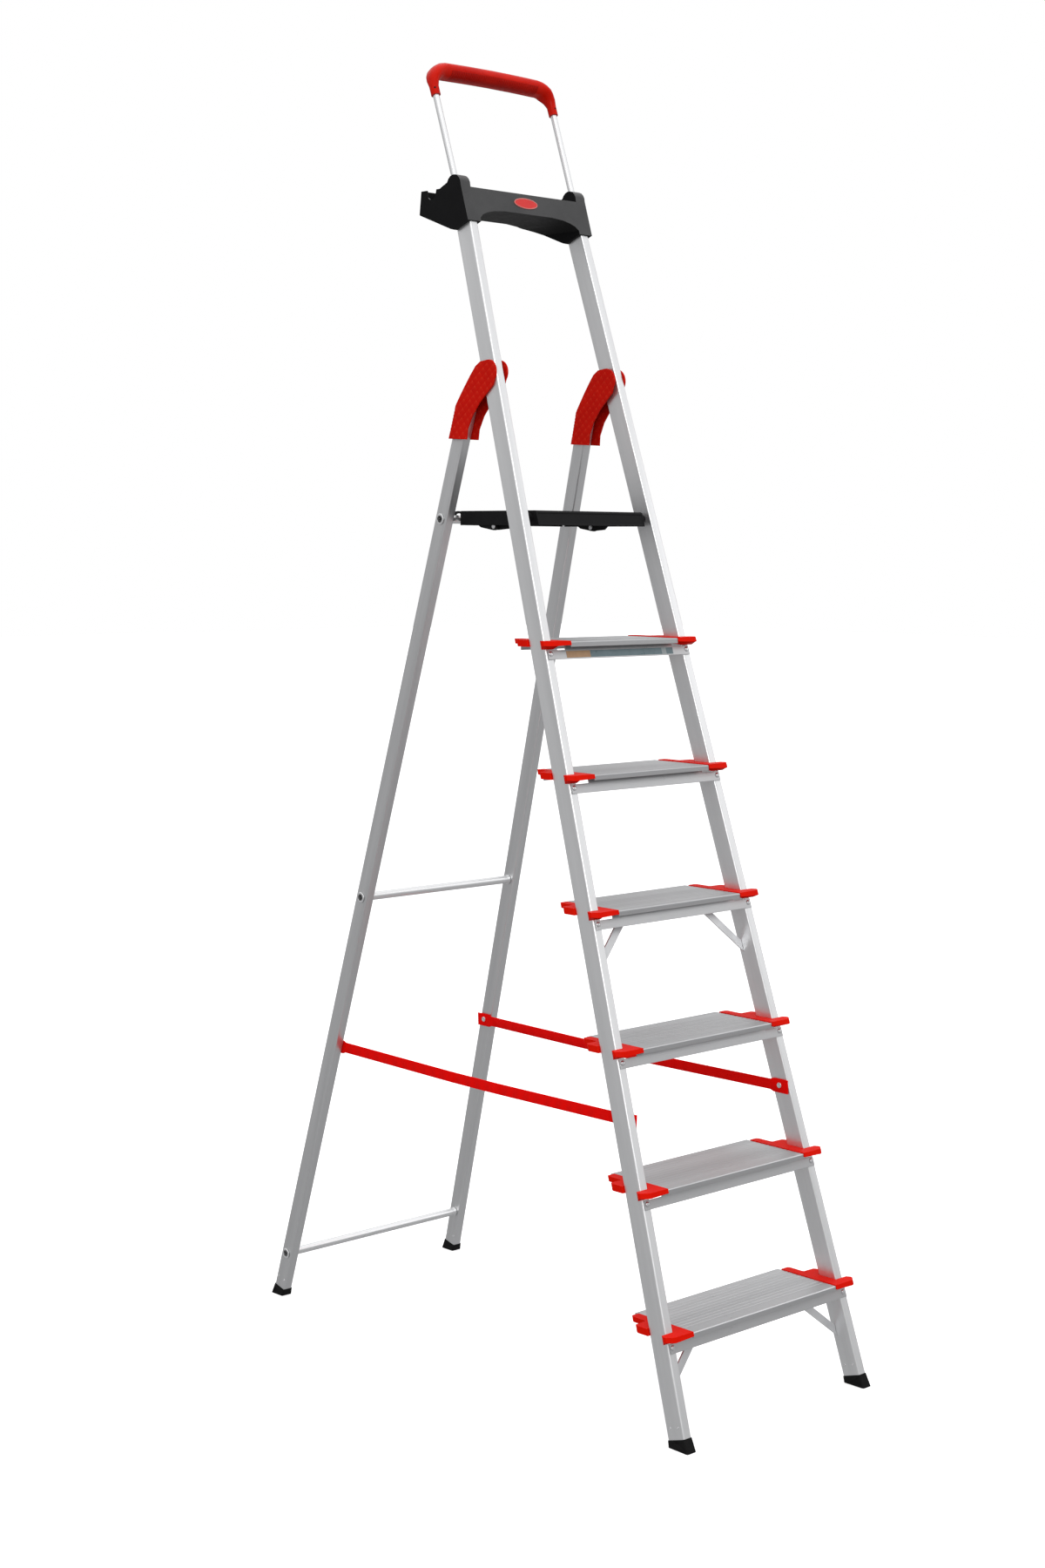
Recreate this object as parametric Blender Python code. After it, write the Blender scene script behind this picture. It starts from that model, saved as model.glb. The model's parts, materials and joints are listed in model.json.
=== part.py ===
"""Platform step ladder: a raked front frame with six treads, a rear frame hinged to it, a hinged
platform held up by two arms, a tool tray and a hand rail above. Metres, +Z up, climbing side at -Y."""

import math

import bmesh
import bpy
from mathutils import Vector

# Heights
STEP_COUNT = 6
STEP_RISE = 0.233
FIRST_STEP_TOP = 0.190
HINGE_ABOVE_PLATFORM = 0.249
TRAY_ABOVE_HINGE = 0.278
GRIP_ABOVE_TRAY = 0.235

# Slopes and widths
FRONT_LEAN = math.radians(17.5)
REAR_LEAN = math.radians(15.0)
SPLAY = math.radians(2.5)
BASE_HALF_WIDTH = 0.2437
LEG_INSET = 0.003
GAP = 0.0003

# Rails
STILE_DEPTH = 0.039
STILE_WIDTH = 0.019
LEG_DEPTH = 0.030
LEG_WIDTH = 0.0205
LEG_BEHIND_HINGE = 0.050
RAIL_WALL = 0.0015
RAIL_CORNER = 0.003
STILE_TOP_ABOVE_TRAY = 0.035
LEG_TOP_BELOW_HINGE = 0.077
FOOT_HEIGHT = 0.018
FOOT_FLARE = 0.004
FOOT_PROUD = 0.001
FOOT_PLUG = 0.030
FIT_CLEARANCE = 0.0003

# Treads
TREAD_DEPTH = 0.118
NOSE_OVERHANG = 0.0222
NOSE_DROP = 0.0095
DECK_THICKNESS = 0.0025
DECK_INSET = 0.046
DECK_GROOVES = 10
FLANGE_DROP = 0.020
APRON_DROP = 0.032
APRON_SHOULDER = 0.016
APRON_THICKNESS = 0.002
APRON_INSET = 0.003
CAP_PROUD = 0.0015
RIVET_DROP = 0.0225
RIVET_INSET = 0.0095
RIVET_RADIUS = 0.0024
RIVET_CLEARANCE = 0.0003

# Braces
BRACED_TREADS = {0: 0.095, 3: 0.104}
BRACE_RUN = 0.111
BRACE_WIDTH = 0.015
BRACE_THICKNESS = 0.003
BRACE_BEHIND_FACE = 0.030

# Rear cross tubes, as heights: the top one under the platform, the middle one and the lowest
TOP_TUBE_BELOW_PLATFORM = 0.0156
MIDDLE_TUBE_HEIGHT = 0.8415
LOW_TUBE_HEIGHT = 0.0907
TUBE_RADIUS = 0.008
TUBE_BORE = 0.0065
EYELET_RADIUS = 0.0105
TUBE_END_GAP = 0.0009

# Hinge brackets
BRACKET_HEAD = 0.0228
BRACKET_LENGTH = 0.139
CHEEK_THICKNESS = 0.003
CHEEK_GAP = 0.0008
BACK_WALL = 0.0014
HINGE_PIN_RADIUS = 0.004
PIN_CLEARANCE = 0.0003
RECESS_DEPTH = 0.0018

# Platform and arms
PLATFORM_SIDE_GAP = 0.017866
PLATFORM_REAR = 0.2055
PLATFORM_HEIGHT = 0.0265
PLATFORM_WALL = 0.0025
PLATFORM_PIVOT_DROP = 0.0124
PIVOT_COLLAR = 0.008
PIVOT_STUB = 0.005
ARM_PIVOT_REAR = 0.1028
ARM_PIVOT_DROP = 0.0283
ARM_INSIDE_PLATFORM = 0.0115
ARM_THICKNESS = 0.0055
ARM_EYE = 0.0075
LUG_THICKNESS = 0.005
ARM_RIVET_RADIUS = 0.0028

# Tray
TRAY_OVERHANG = 0.007643
TRAY_FRONT_GAP = 0.003
TRAY_WALL = 0.003
TRAY_RIM = 0.063
TRAY_FLOOR = 0.029
TRAY_FLOOR_THICKNESS = 0.004
TRAY_REAR = 0.1300
EAR_LENGTH = 0.024
SOCKET_BLOCK_LENGTH = 0.0325
EAR_RADIUS = 0.0195

# Hand rail
HANDLE_LEAN = math.radians(19.0)
HANDLE_INSIDE_TRAY_END = 0.009
HANDLE_RADIUS = 0.006
HANDLE_WALL = 0.0012
GRIP_BAR_RISE = 0.053
GRIP_ELBOW = 0.033
GRIP_COLLAR = 0.009
GRIP_HALF_HEIGHT = 0.0145
GRIP_HALF_DEPTH = 0.017
GRIP_CROWN = 0.002
GRIP_SOCKET = 0.018
GRIP_SQUARE_BACK = 0.45

# Straps
STRAP_HEIGHT_ABOVE_FLOOR = 0.533
STRAP_HALF_HEIGHT = 0.010
STRAP_TAB_HALF_HEIGHT = 0.013
STRAP_TAB_LENGTH = 0.038
STRAP_THICKNESS = 0.0025
STRAP_SAG = 0.004
STRAP_GAP = 0.0005

PLATFORM_TOP = FIRST_STEP_TOP + STEP_COUNT * STEP_RISE
HINGE_Z = PLATFORM_TOP + HINGE_ABOVE_PLATFORM
TRAY_Z = HINGE_Z + TRAY_ABOVE_HINGE
SIN_F, COS_F, TAN_F = math.sin(FRONT_LEAN), math.cos(FRONT_LEAN), math.tan(FRONT_LEAN)
SIN_R, COS_R, TAN_R = math.sin(REAR_LEAN), math.cos(REAR_LEAN), math.tan(REAR_LEAN)
FRONT_REACH = HINGE_Z * TAN_F + STILE_DEPTH / 2 / COS_F
REAR_REACH = HINGE_Z * TAN_R + (LEG_BEHIND_HINGE + LEG_DEPTH / 2) / COS_R
HINGE_Y = (FRONT_REACH - REAR_REACH) / 2
PLATFORM_HALF_WIDTH = BASE_HALF_WIDTH - PLATFORM_TOP * math.tan(SPLAY) - STILE_WIDTH - PLATFORM_SIDE_GAP
ARM_INNER_X = PLATFORM_HALF_WIDTH - ARM_INSIDE_PLATFORM
TRAY_HALF_LENGTH = BASE_HALF_WIDTH - TRAY_Z * math.tan(SPLAY) + TRAY_OVERHANG
EAR_INNER = TRAY_HALF_LENGTH - EAR_LENGTH
SOCKET_BLOCK_INNER = TRAY_HALF_LENGTH - SOCKET_BLOCK_LENGTH
HANDLE_HALF_WIDTH = TRAY_HALF_LENGTH - HANDLE_INSIDE_TRAY_END
ORIGIN = Vector((0, 0, 0))
HINGE = Vector((0, HINGE_Y, HINGE_Z))


def half_width(z):
    """Outer half-width of the front frame at height z."""
    return BASE_HALF_WIDTH - z * math.tan(SPLAY)


def face_y(z):
    """Y of the stiles' front face at height z."""
    return HINGE_Y - STILE_DEPTH / 2 / COS_F + (z - HINGE_Z) * TAN_F


def front_point(side, dx, v, w):
    """dx from the stile's outer face, v behind its centreline, w up it from the hinge."""
    x = side * (half_width(HINGE_Z + w * COS_F) + dx)
    return Vector((x, HINGE_Y + w * SIN_F + v * COS_F, HINGE_Z + w * COS_F - v * SIN_F))


def rear_point(side, dx, v, w):
    """dx from the stile's outer face, v behind the hinge square to the leg, w up the leg."""
    x = side * (half_width(HINGE_Z + w * COS_R) + dx)
    return Vector((x, HINGE_Y - w * SIN_R + v * COS_R, HINGE_Z + w * COS_R + v * SIN_R))


def leg_centre(z):
    """Point on the rear leg's centreline at height z, in the plane x = 0."""
    w = (z - HINGE_Z - LEG_BEHIND_HINGE * SIN_R) / COS_R
    return Vector((0, HINGE_Y - w * SIN_R + LEG_BEHIND_HINGE * COS_R, z))


def material(name, colour, roughness, metallic):
    made = bpy.data.materials.new(name)
    made.use_nodes = True
    shader = made.node_tree.nodes["Principled BSDF"]
    shader.inputs["Base Color"].default_value = (*colour, 1)
    shader.inputs["Roughness"].default_value = roughness
    shader.inputs["Metallic"].default_value = metallic
    made.diffuse_color = (*colour, 1)
    return made


def mesh_object(name, points, faces, finish, origin=ORIGIN):
    mesh = bpy.data.meshes.new(name)
    mesh.from_pydata([Vector(p) - origin for p in points], [], faces)
    work = bmesh.new()
    work.from_mesh(mesh)
    bmesh.ops.recalc_face_normals(work, faces=work.faces)
    work.to_mesh(mesh)
    work.free()
    obj = bpy.data.objects.new(name, mesh)
    obj.location = origin
    bpy.context.scene.collection.objects.link(obj)
    if finish is None:
        obj.hide_render = True
        obj.display_type = "WIRE"
    else:
        mesh.materials.append(finish)
    return obj


def lofted(rings, closed=False):
    """Faces joining each ring to the next, with end caps, or joined end to end."""
    count = len(rings[0])
    points = [p for ring in rings for p in ring]
    faces = []
    last = len(rings) if closed else len(rings) - 1
    for i in range(last):
        near, far = i * count, (i + 1) % len(rings) * count
        for j in range(count):
            k = (j + 1) % count
            faces.append((near + j, near + k, far + k, far + j))
    if not closed:
        faces.append(tuple(range(count)))
        faces.append(tuple(range(len(points) - count, len(points))))
    return points, faces


def loft(name, rings, finish, origin=ORIGIN, closed=False):
    points, faces = lofted(rings, closed)
    return mesh_object(name, points, faces, finish, origin)


def circle(centre, axis, radius, steps):
    axis = axis.normalized()
    first = axis.orthogonal().normalized()
    second = axis.cross(first)
    turn = 2 * math.pi / steps
    return [
        centre + radius * (first * math.cos(i * turn) + second * math.sin(i * turn))
        for i in range(steps)
    ]


def revolve(name, profile, start, axis, finish, origin=ORIGIN, steps=16, closed=False):
    """Profile of (distance along the axis, radius) pairs turned about the axis."""
    rings = [circle(start + axis * a, axis, r, steps) for a, r in profile]
    return loft(name, rings, finish, origin, closed)


def rods(name, ends, origin=ORIGIN, steps=16):
    """One hidden cutter of separate round rods, each (start, end, radius)."""
    points, faces = [], []
    for start, end, radius in ends:
        axis = end - start
        rings = [circle(start, axis, radius, steps), circle(end, axis, radius, steps)]
        more, sides = lofted(rings)
        faces += [tuple(i + len(points) for i in side) for side in sides]
        points += more
    return mesh_object(name, points, faces, None, origin)


def prism(name, outline, x0, x1, finish, origin=ORIGIN):
    """Outline of (y, z) pairs extruded along X."""
    rings = [[Vector((x, y, z)) for y, z in outline] for x in (x0, x1)]
    return loft(name, rings, finish, origin)


def boolean(target, other, operation):
    modifier = target.modifiers.new(other.name, "BOOLEAN")
    modifier.operation = operation
    modifier.solver = "EXACT"
    modifier.object = other


def cut(target, cutter):
    boolean(target, cutter, "DIFFERENCE")


def join(target, extra):
    extra.hide_render = True
    extra.display_type = "WIRE"
    boolean(target, extra, "UNION")


def smooth(obj):
    for polygon in obj.data.polygons:
        polygon.use_smooth = True
    obj.data.set_sharp_from_angle(angle=math.radians(35))


def rounded(x0, x1, v0, v1, radius, steps=4):
    """Rounded rectangle of (x, v) pairs."""
    points = []
    corners = ((x1, v1, 0), (x0, v1, 1), (x0, v0, 2), (x1, v0, 3))
    for x, v, quarter in corners:
        cx = x - radius if x == x1 else x + radius
        cv = v - radius if v == v1 else v + radius
        for i in range(steps):
            angle = math.pi / 2 * (quarter + i / (steps - 1))
            points.append((cx + radius * math.cos(angle), cv + radius * math.sin(angle)))
    return points


def rail(name, place, side, section, bottom, top, finish, origin):
    """Open square tube between two heights along its own slope."""
    x0, x1, v0, v1 = section
    outer = rounded(x0, x1, v0, v1, RAIL_CORNER)
    bore = (x0 + RAIL_WALL, x1 - RAIL_WALL, v0 + RAIL_WALL, v1 - RAIL_WALL)
    inner = rounded(*bore, RAIL_CORNER - RAIL_WALL)
    stations = ((outer, bottom), (outer, top), (inner, top), (inner, bottom))
    rings = [[place(side, dx, v, w) for dx, v in ring] for ring, w in stations]
    made = loft(name, rings, finish, origin, closed=True)
    smooth(made)
    return made


def foot(name, place, side, section, bottom, lean, finish, origin):
    """Wedge-shaped foot with a flat sole and a plug up inside the rail."""
    x0, x1, v0, v1 = section
    inset = RAIL_WALL + FIT_CLEARANCE
    top = bottom - GAP
    collar = rounded(x0 - FOOT_PROUD, x1 + FOOT_PROUD, v0 - FOOT_PROUD, v1 + FOOT_PROUD, RAIL_CORNER)
    plug = rounded(x0 + inset, x1 - inset, v0 + inset, v1 - inset, RAIL_CORNER - RAIL_WALL)
    flare = FOOT_FLARE if lean > 0 else FOOT_PROUD
    heel = FOOT_PROUD if lean > 0 else FOOT_FLARE
    sole = rounded(x0 - 2 * FOOT_PROUD, x1 + 2 * FOOT_PROUD, v0 - flare, v1 + heel, RAIL_CORNER)
    floor = [(dx, v, (v * math.sin(lean) - HINGE_Z) / math.cos(lean)) for dx, v in sole]
    rings = [[place(side, dx, v, w) for dx, v, w in floor]]
    for ring, w in ((collar, top), (plug, top), (plug, top + FOOT_PLUG)):
        rings.append([place(side, dx, v, w) for dx, v in ring])
    for point in rings[0]:
        point.z = 0
    made = loft(name, rings, finish, origin)
    smooth(made)


def stile_section():
    return (-STILE_WIDTH, 0, -STILE_DEPTH / 2, STILE_DEPTH / 2)


def leg_section():
    middle = LEG_BEHIND_HINGE
    return (-LEG_INSET - LEG_WIDTH, -LEG_INSET, middle - LEG_DEPTH / 2, middle + LEG_DEPTH / 2)


def stile_bottom():
    return FOOT_HEIGHT - HINGE_Z / COS_F


def stile_top():
    return (TRAY_ABOVE_HINGE + STILE_TOP_ABOVE_TRAY) / COS_F


def leg_bottom():
    return FOOT_HEIGHT - (HINGE_Z + LEG_BEHIND_HINGE * SIN_R) / COS_R


def tread_top(index):
    return FIRST_STEP_TOP + index * STEP_RISE


def rivet_seat(side, index):
    """Point on the stile's front face under the rivet's head, and the face's normal."""
    z = tread_top(index) - RIVET_DROP
    x = side * (half_width(z) - RIVET_INSET)
    return Vector((x, face_y(z), z)), Vector((0, -COS_F, SIN_F))


def platform_pivot():
    z = PLATFORM_TOP - PLATFORM_PIVOT_DROP
    return Vector((0, HINGE_Y + (z - HINGE_Z) * TAN_F, z))


def arm_pivot():
    y = platform_pivot().y + ARM_PIVOT_REAR
    return Vector((0, y, PLATFORM_TOP - ARM_PIVOT_DROP))


def add_stile(side, word, finish):
    section = stile_section()
    stile = rail(f"front_stile_{word}", front_point, side, section, stile_bottom(), stile_top(), finish, ORIGIN)
    holes = []
    for index in range(STEP_COUNT):
        seat, normal = rivet_seat(side, index)
        reach = normal * (3 * RAIL_WALL)
        holes.append((seat - reach, seat + reach, RIVET_RADIUS + RIVET_CLEARANCE))
    across = Vector((side * 2 * STILE_WIDTH, 0, 0))
    pin = front_point(side, -STILE_WIDTH / 2, 0, 0)
    holes.append((pin - across, pin + across, HINGE_PIN_RADIUS + PIN_CLEARANCE))
    pivot = platform_pivot()
    inner_x = side * (half_width(pivot.z) - STILE_WIDTH)
    inner = Vector((inner_x, pivot.y, pivot.z))
    half = Vector((side * STILE_WIDTH / 3, 0, 0))
    holes.append((inner - half, inner + half, PIVOT_STUB + PIN_CLEARANCE))
    cut(stile, rods(f"stile_holes_{word}", holes))
    foot(f"front_foot_{word}", front_point, side, section, stile_bottom(), FRONT_LEAN, RUBBER, ORIGIN)


def tube_heights():
    return {
        "top": PLATFORM_TOP - TOP_TUBE_BELOW_PLATFORM,
        "middle": MIDDLE_TUBE_HEIGHT,
        "low": LOW_TUBE_HEIGHT,
    }


def add_leg(side, word, finish):
    section = leg_section()
    leg = rail(f"rear_leg_{word}", rear_point, side, section, leg_bottom(), -LEG_TOP_BELOW_HINGE, finish, HINGE)
    holes = []
    for z in tube_heights().values():
        centre = leg_centre(z)
        inner = Vector((side * (half_width(z) - 2 * LEG_WIDTH), centre.y, z))
        outer = Vector((side * (half_width(z) + LEG_WIDTH), centre.y, z))
        holes.append((inner, outer, TUBE_RADIUS + PIN_CLEARANCE))
    cut(leg, rods(f"leg_holes_{word}", holes, HINGE, 24))
    foot(f"rear_foot_{word}", rear_point, side, section, leg_bottom(), -REAR_LEAN, RUBBER, HINGE)


def add_cross_tube(word, z, finish):
    """Hollow tube through both legs, with a bead inside and a flared eyelet outside each."""
    outer_face = half_width(z - LEG_BEHIND_HINGE * SIN_R) - LEG_INSET
    flange = outer_face + TUBE_END_GAP
    end = flange + 0.0016
    bead = outer_face - LEG_WIDTH - TUBE_END_GAP
    right = [
        (bead - 0.003, TUBE_RADIUS),
        (bead - 0.003, TUBE_RADIUS + 0.002),
        (bead, TUBE_RADIUS + 0.002),
        (bead, TUBE_RADIUS),
        (flange, TUBE_RADIUS),
        (flange, EYELET_RADIUS - 0.0005),
        (flange + 0.0008, EYELET_RADIUS),
        (end, EYELET_RADIUS - 0.001),
        (end, TUBE_BORE),
    ]
    left = [(-x, r) for x, r in reversed(right)]
    tube = revolve(
        f"cross_tube_{word}", left + right, leg_centre(z), Vector((1, 0, 0)), finish, HINGE, 24, True
    )
    smooth(tube)


def deck_outline(y, z):
    """Tread cross-section: grooved deck, front nose and rear flange."""
    nose, rear = -NOSE_OVERHANG, TREAD_DEPTH
    flange = rear - 0.010
    points = [(nose, -NOSE_DROP), (nose, -0.0015), (nose + 0.0015, 0)]
    pitch = (rear - 0.012) / DECK_GROOVES
    for i in range(DECK_GROOVES):
        middle = 0.006 + i * pitch
        points += [
            (middle - 0.0010, 0),
            (middle - 0.0006, -0.0005),
            (middle + 0.0006, -0.0005),
            (middle + 0.0010, 0),
        ]
    points += [
        (rear - 0.001, 0),
        (rear, -0.001),
        (rear, -0.0045),
        (flange + 0.002, -0.0045),
        (flange + 0.002, -FLANGE_DROP),
        (flange, -FLANGE_DROP),
        (flange, -DECK_THICKNESS),
        (nose + 0.0025, -DECK_THICKNESS),
        (nose + 0.0025, -NOSE_DROP),
    ]
    return [(y + a, z + b) for a, b in points]


def apron_point(x, top, drop, ahead):
    """Point a given distance ahead of the stiles' front plane."""
    v = -STILE_DEPTH / 2
    w = (top - drop - HINGE_Z + v * SIN_F) / COS_F
    point = front_point(1, 0, v - ahead, w)
    point.x = x
    return point


def add_tread(index, finish):
    top = tread_top(index)
    half = half_width(top) - DECK_INSET
    tread = prism(f"tread_{index + 1}", deck_outline(face_y(top), top), -half, half, finish)
    neck = half - 0.0005
    right = [(neck, 0.0012), (neck, APRON_SHOULDER)]
    for drop in (APRON_SHOULDER, APRON_DROP):
        right.append((half_width(top - drop) - APRON_INSET, drop))
    outline = right + [(-x, drop) for x, drop in reversed(right)]
    rings = []
    for ahead in (GAP, GAP + APRON_THICKNESS):
        rings.append([apron_point(x, top, drop, ahead) for x, drop in outline])
    join(tread, loft(f"apron_{index + 1}", rings, ALUMINIUM))
    holes = []
    for side in (-1, 1):
        seat, normal = rivet_seat(side, index)
        reach = normal * (4 * APRON_THICKNESS)
        holes.append((seat - reach, seat + reach, RIVET_RADIUS + RIVET_CLEARANCE))
    cut(tread, rods(f"apron_holes_{index + 1}", holes))


def cap_outline():
    """Plan of an end cap round its stile: (dx, dy, depth) of each corner."""
    inner = -DECK_INSET + GAP
    notch = -STILE_WIDTH - GAP
    back = STILE_DEPTH / COS_F + GAP
    nose = -NOSE_OVERHANG - GAP
    return [
        (inner, nose, 0.0075),
        (-0.001, nose, 0.0090),
        (0.0055, nose + 0.003, 0.0090),
        (0.0138, nose + 0.0105, 0.0085),
        (0.0146, nose + 0.0150, 0.0090),
        (0.0100, -GAP, 0.0155),
        (notch, -GAP, 0.0155),
        (notch, back, 0.0120),
        (0.0040, back, 0.0120),
        (0.0045, back + 0.024, 0.0120),
        (0.0010, back + 0.029, 0.0120),
        (-0.0235, back + 0.030, 0.0110),
        (-0.0255, back + 0.033, 0.0100),
        (-0.0255, back + 0.063, 0.0090),
        (-0.0290, back + 0.067, 0.0090),
        (inner, back + 0.067, 0.0090),
    ]


def add_cap(side, word, index, finish):
    top = tread_top(index)
    surface = top + CAP_PROUD
    rings = [[], []]
    for dx, dy, depth in cap_outline():
        for ring, z in zip(rings, (surface, surface - depth)):
            ring.append(Vector((side * (half_width(z) + dx), face_y(z) + dy, z)))
    cap = loft(f"tread_cap_{index + 1}_{word}", rings, finish)
    y = face_y(top)
    roof = top - DECK_THICKNESS - 2 * GAP
    tongue = [(y + 0.004, roof), (y + 0.100, roof), (y + 0.100, roof - 0.0035), (y + 0.004, roof - 0.0035)]
    outer = half_width(top) - DECK_INSET + 0.002
    join(cap, prism(f"cap_tongue_{index + 1}_{word}", tongue, side * (outer - 0.012), side * outer, finish))


def add_tread_rivet(side, word, index, finish):
    seat, normal = rivet_seat(side, index)
    head = 2 * GAP + APRON_THICKNESS
    profile = [
        (-RAIL_WALL - 0.0034, RIVET_RADIUS + 0.0006),
        (-RAIL_WALL - GAP, RIVET_RADIUS + 0.0010),
        (-RAIL_WALL - GAP, RIVET_RADIUS),
        (head, RIVET_RADIUS),
        (head, 0.0048),
        (head + 0.0006, 0.0046),
        (head + 0.0014, 0.0034),
        (head + 0.0018, 0.0014),
    ]
    smooth(revolve(f"tread_rivet_{index + 1}_{word}", profile, seat, normal, finish, ORIGIN, 14))


def add_brace(side, word, index, drop, finish):
    """Flat strip from the stile's inner face up to the underside of the tread."""
    top = tread_top(index)
    roof = top - DECK_THICKNESS - GAP
    foot_z = top - drop
    rise = roof - foot_z
    length = math.hypot(BRACE_RUN, rise)
    end_half = BRACE_WIDTH / 2 * length / BRACE_RUN
    roof_half = BRACE_WIDTH / 2 * length / rise
    inner = half_width(foot_z) - STILE_WIDTH - 2 * GAP
    outline = []
    for z in (foot_z - end_half, foot_z + end_half):
        outline.append((inner + (foot_z - z) * math.tan(SPLAY), z))
    outline.append((inner - BRACE_RUN + roof_half, roof))
    outline.append((inner - BRACE_RUN - roof_half, roof))
    rings = []
    for behind in (BRACE_BEHIND_FACE, BRACE_BEHIND_FACE + BRACE_THICKNESS):
        rings.append([Vector((side * x, face_y(z) + behind, z)) for x, z in outline])
    loft(f"brace_{index + 1}_{word}", rings, finish)


def bracket_outline():
    """Side view of a hinge bracket: round head, ribbed back edge, swept front edge."""
    points = []
    for degrees in range(200, 50, -15):
        angle = math.radians(degrees)
        points.append((BRACKET_HEAD * math.cos(angle), BRACKET_HEAD * math.sin(angle)))
    back = LEG_BEHIND_HINGE + LEG_DEPTH / 2 + GAP + BACK_WALL
    points += [(0.0260, 0.0140), (0.0360, 0.0030), (0.0446, -0.0160), (0.0521, -0.0350), (0.0588, -0.0530)]
    points += [(0.0640, -0.0680), (back, -0.0770)]
    ribs = 7
    pitch = (BRACKET_LENGTH - 0.012 - 0.084) / ribs
    for i in range(ribs):
        w = -0.084 - i * pitch
        points += [(back, w), (back - 0.0006, w - 0.0012), (back - 0.0006, w - 0.0028), (back, w - 0.0040)]
    points += [
        (back, -BRACKET_LENGTH),
        (0.0180, -BRACKET_LENGTH + 0.010),
        (0.0210, -0.110),
        (0.0160, -0.084),
        (0.0040, -0.057),
        (-0.0096, -0.036),
        (-0.0205, -0.0200),
    ]
    return points


def channel_outline():
    """Open space of the bracket, ahead of its back wall."""
    back = LEG_BEHIND_HINGE + LEG_DEPTH / 2 + GAP
    return [
        (-0.060, 0.060),
        (0.0335, 0.060),
        (0.0335, 0.0025),
        (0.0421, -0.0170),
        (0.0496, -0.0360),
        (0.0563, -0.0540),
        (0.0610, -0.0685),
        (back, -0.0762),
        (back, -0.170),
        (-0.060, -0.170),
    ]


def add_bracket(side, word, finish):
    outer = CHEEK_GAP + CHEEK_THICKNESS
    inner = -LEG_INSET - LEG_WIDTH - outer
    shapes = ((bracket_outline(), inner, outer), (channel_outline(), inner + CHEEK_THICKNESS, CHEEK_GAP))
    names = (f"hinge_bracket_{word}", f"bracket_channel_{word}")
    made = []
    for name, (outline, x0, x1), paint in zip(names, shapes, (finish, None)):
        rings = [[rear_point(side, dx, v, w) for v, w in outline] for dx in (x0, x1)]
        made.append(loft(name, rings, paint, HINGE))
    bracket, channel = made
    cut(bracket, channel)
    reach = CHEEK_THICKNESS - RECESS_DEPTH
    start = rear_point(side, inner + reach, 0, 0)
    end = rear_point(side, outer - reach, 0, 0)
    radius = HINGE_PIN_RADIUS + 0.0004
    cut(bracket, rods(f"pin_recess_{word}", [(start, end, radius)], HINGE, 20))


def add_hinge_pin(side, word, finish):
    outer = CHEEK_GAP + RECESS_DEPTH - GAP
    inner = -LEG_INSET - LEG_WIDTH - outer
    profile = [
        (inner, HINGE_PIN_RADIUS - 0.0005),
        (inner + 0.0005, HINGE_PIN_RADIUS),
        (outer - 0.0005, HINGE_PIN_RADIUS),
        (outer, HINGE_PIN_RADIUS - 0.0005),
    ]
    start = front_point(side, 0, 0, 0)
    smooth(revolve(f"hinge_pin_{word}", profile, start, Vector((side, 0, 0)), finish, ORIGIN, 20))


def platform_outline(wall):
    """Side view of the platform shell, or of its cavity when wall is not zero."""
    front = face_y(PLATFORM_TOP)
    top = PLATFORM_TOP - wall
    rear = front + PLATFORM_REAR - wall
    low = PLATFORM_TOP - (PLATFORM_HEIGHT if wall == 0 else 3 * PLATFORM_HEIGHT)
    soft = 0.002
    nose = wall / COS_F
    return [
        (face_y(low) + nose, low),
        (face_y(top - soft) + nose, top - soft),
        (face_y(top) + nose + soft, top),
        (rear - soft, top),
        (rear, top - soft),
        (rear, low),
    ]


def lug_outline():
    pivot = arm_pivot()
    y, z = pivot.y, pivot.z
    roof = PLATFORM_TOP - PLATFORM_WALL / 2
    return [
        (y - 0.044, roof),
        (y - 0.042, z + 0.002),
        (y - 0.034, z - 0.0045),
        (y - 0.004, z - 0.0068),
        (y + 0.003, z - 0.0068),
        (y + 0.0065, z - 0.003),
        (y + 0.0075, z + 0.002),
        (y + 0.012, roof),
    ]


def add_platform(finish):
    pivot = platform_pivot()
    half = PLATFORM_HALF_WIDTH
    wall = PLATFORM_WALL
    platform = prism("platform", platform_outline(0), -half, half, finish, pivot)
    cut(platform, prism("platform_cavity", platform_outline(wall), wall - half, half - wall, None, pivot))
    lug_outer = ARM_INNER_X - 0.0005
    arm_y = arm_pivot().y
    rivet_ends = []
    for side, word in SIDES:
        face = half_width(pivot.z) - STILE_WIDTH
        profile = [
            (half - wall / 2, PIVOT_COLLAR),
            (face - 0.001, PIVOT_COLLAR),
            (face - 0.001, PIVOT_STUB),
            (face + 0.0045, PIVOT_STUB),
        ]
        stub = revolve(f"platform_stub_{word}", profile, pivot, Vector((side, 0, 0)), finish, pivot, 20)
        join(platform, stub)
        lug_inner = lug_outer - LUG_THICKNESS
        join(platform, prism(f"platform_lug_{word}", lug_outline(), side * lug_inner, side * lug_outer, finish, pivot))
        start = Vector((side * (lug_inner - 0.01), arm_y, arm_pivot().z))
        end = Vector((side * (lug_outer + 0.005), arm_y, arm_pivot().z))
        rivet_ends.append((start, end, ARM_RIVET_RADIUS + PIN_CLEARANCE))
        slot_y = face_y(PLATFORM_TOP) + PLATFORM_REAR - 0.020
        low, high = PLATFORM_TOP - 0.05, PLATFORM_TOP + 0.02
        slot = [(slot_y, low), (slot_y, high), (slot_y + 0.04, high), (slot_y + 0.04, low)]
        x0 = side * (ARM_INNER_X - 0.0008)
        x1 = side * (ARM_INNER_X + ARM_THICKNESS + 0.0010)
        cut(platform, prism(f"arm_slot_{word}", slot, x0, x1, None, pivot))
    cut(platform, rods("lug_holes", rivet_ends, pivot))


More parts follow.
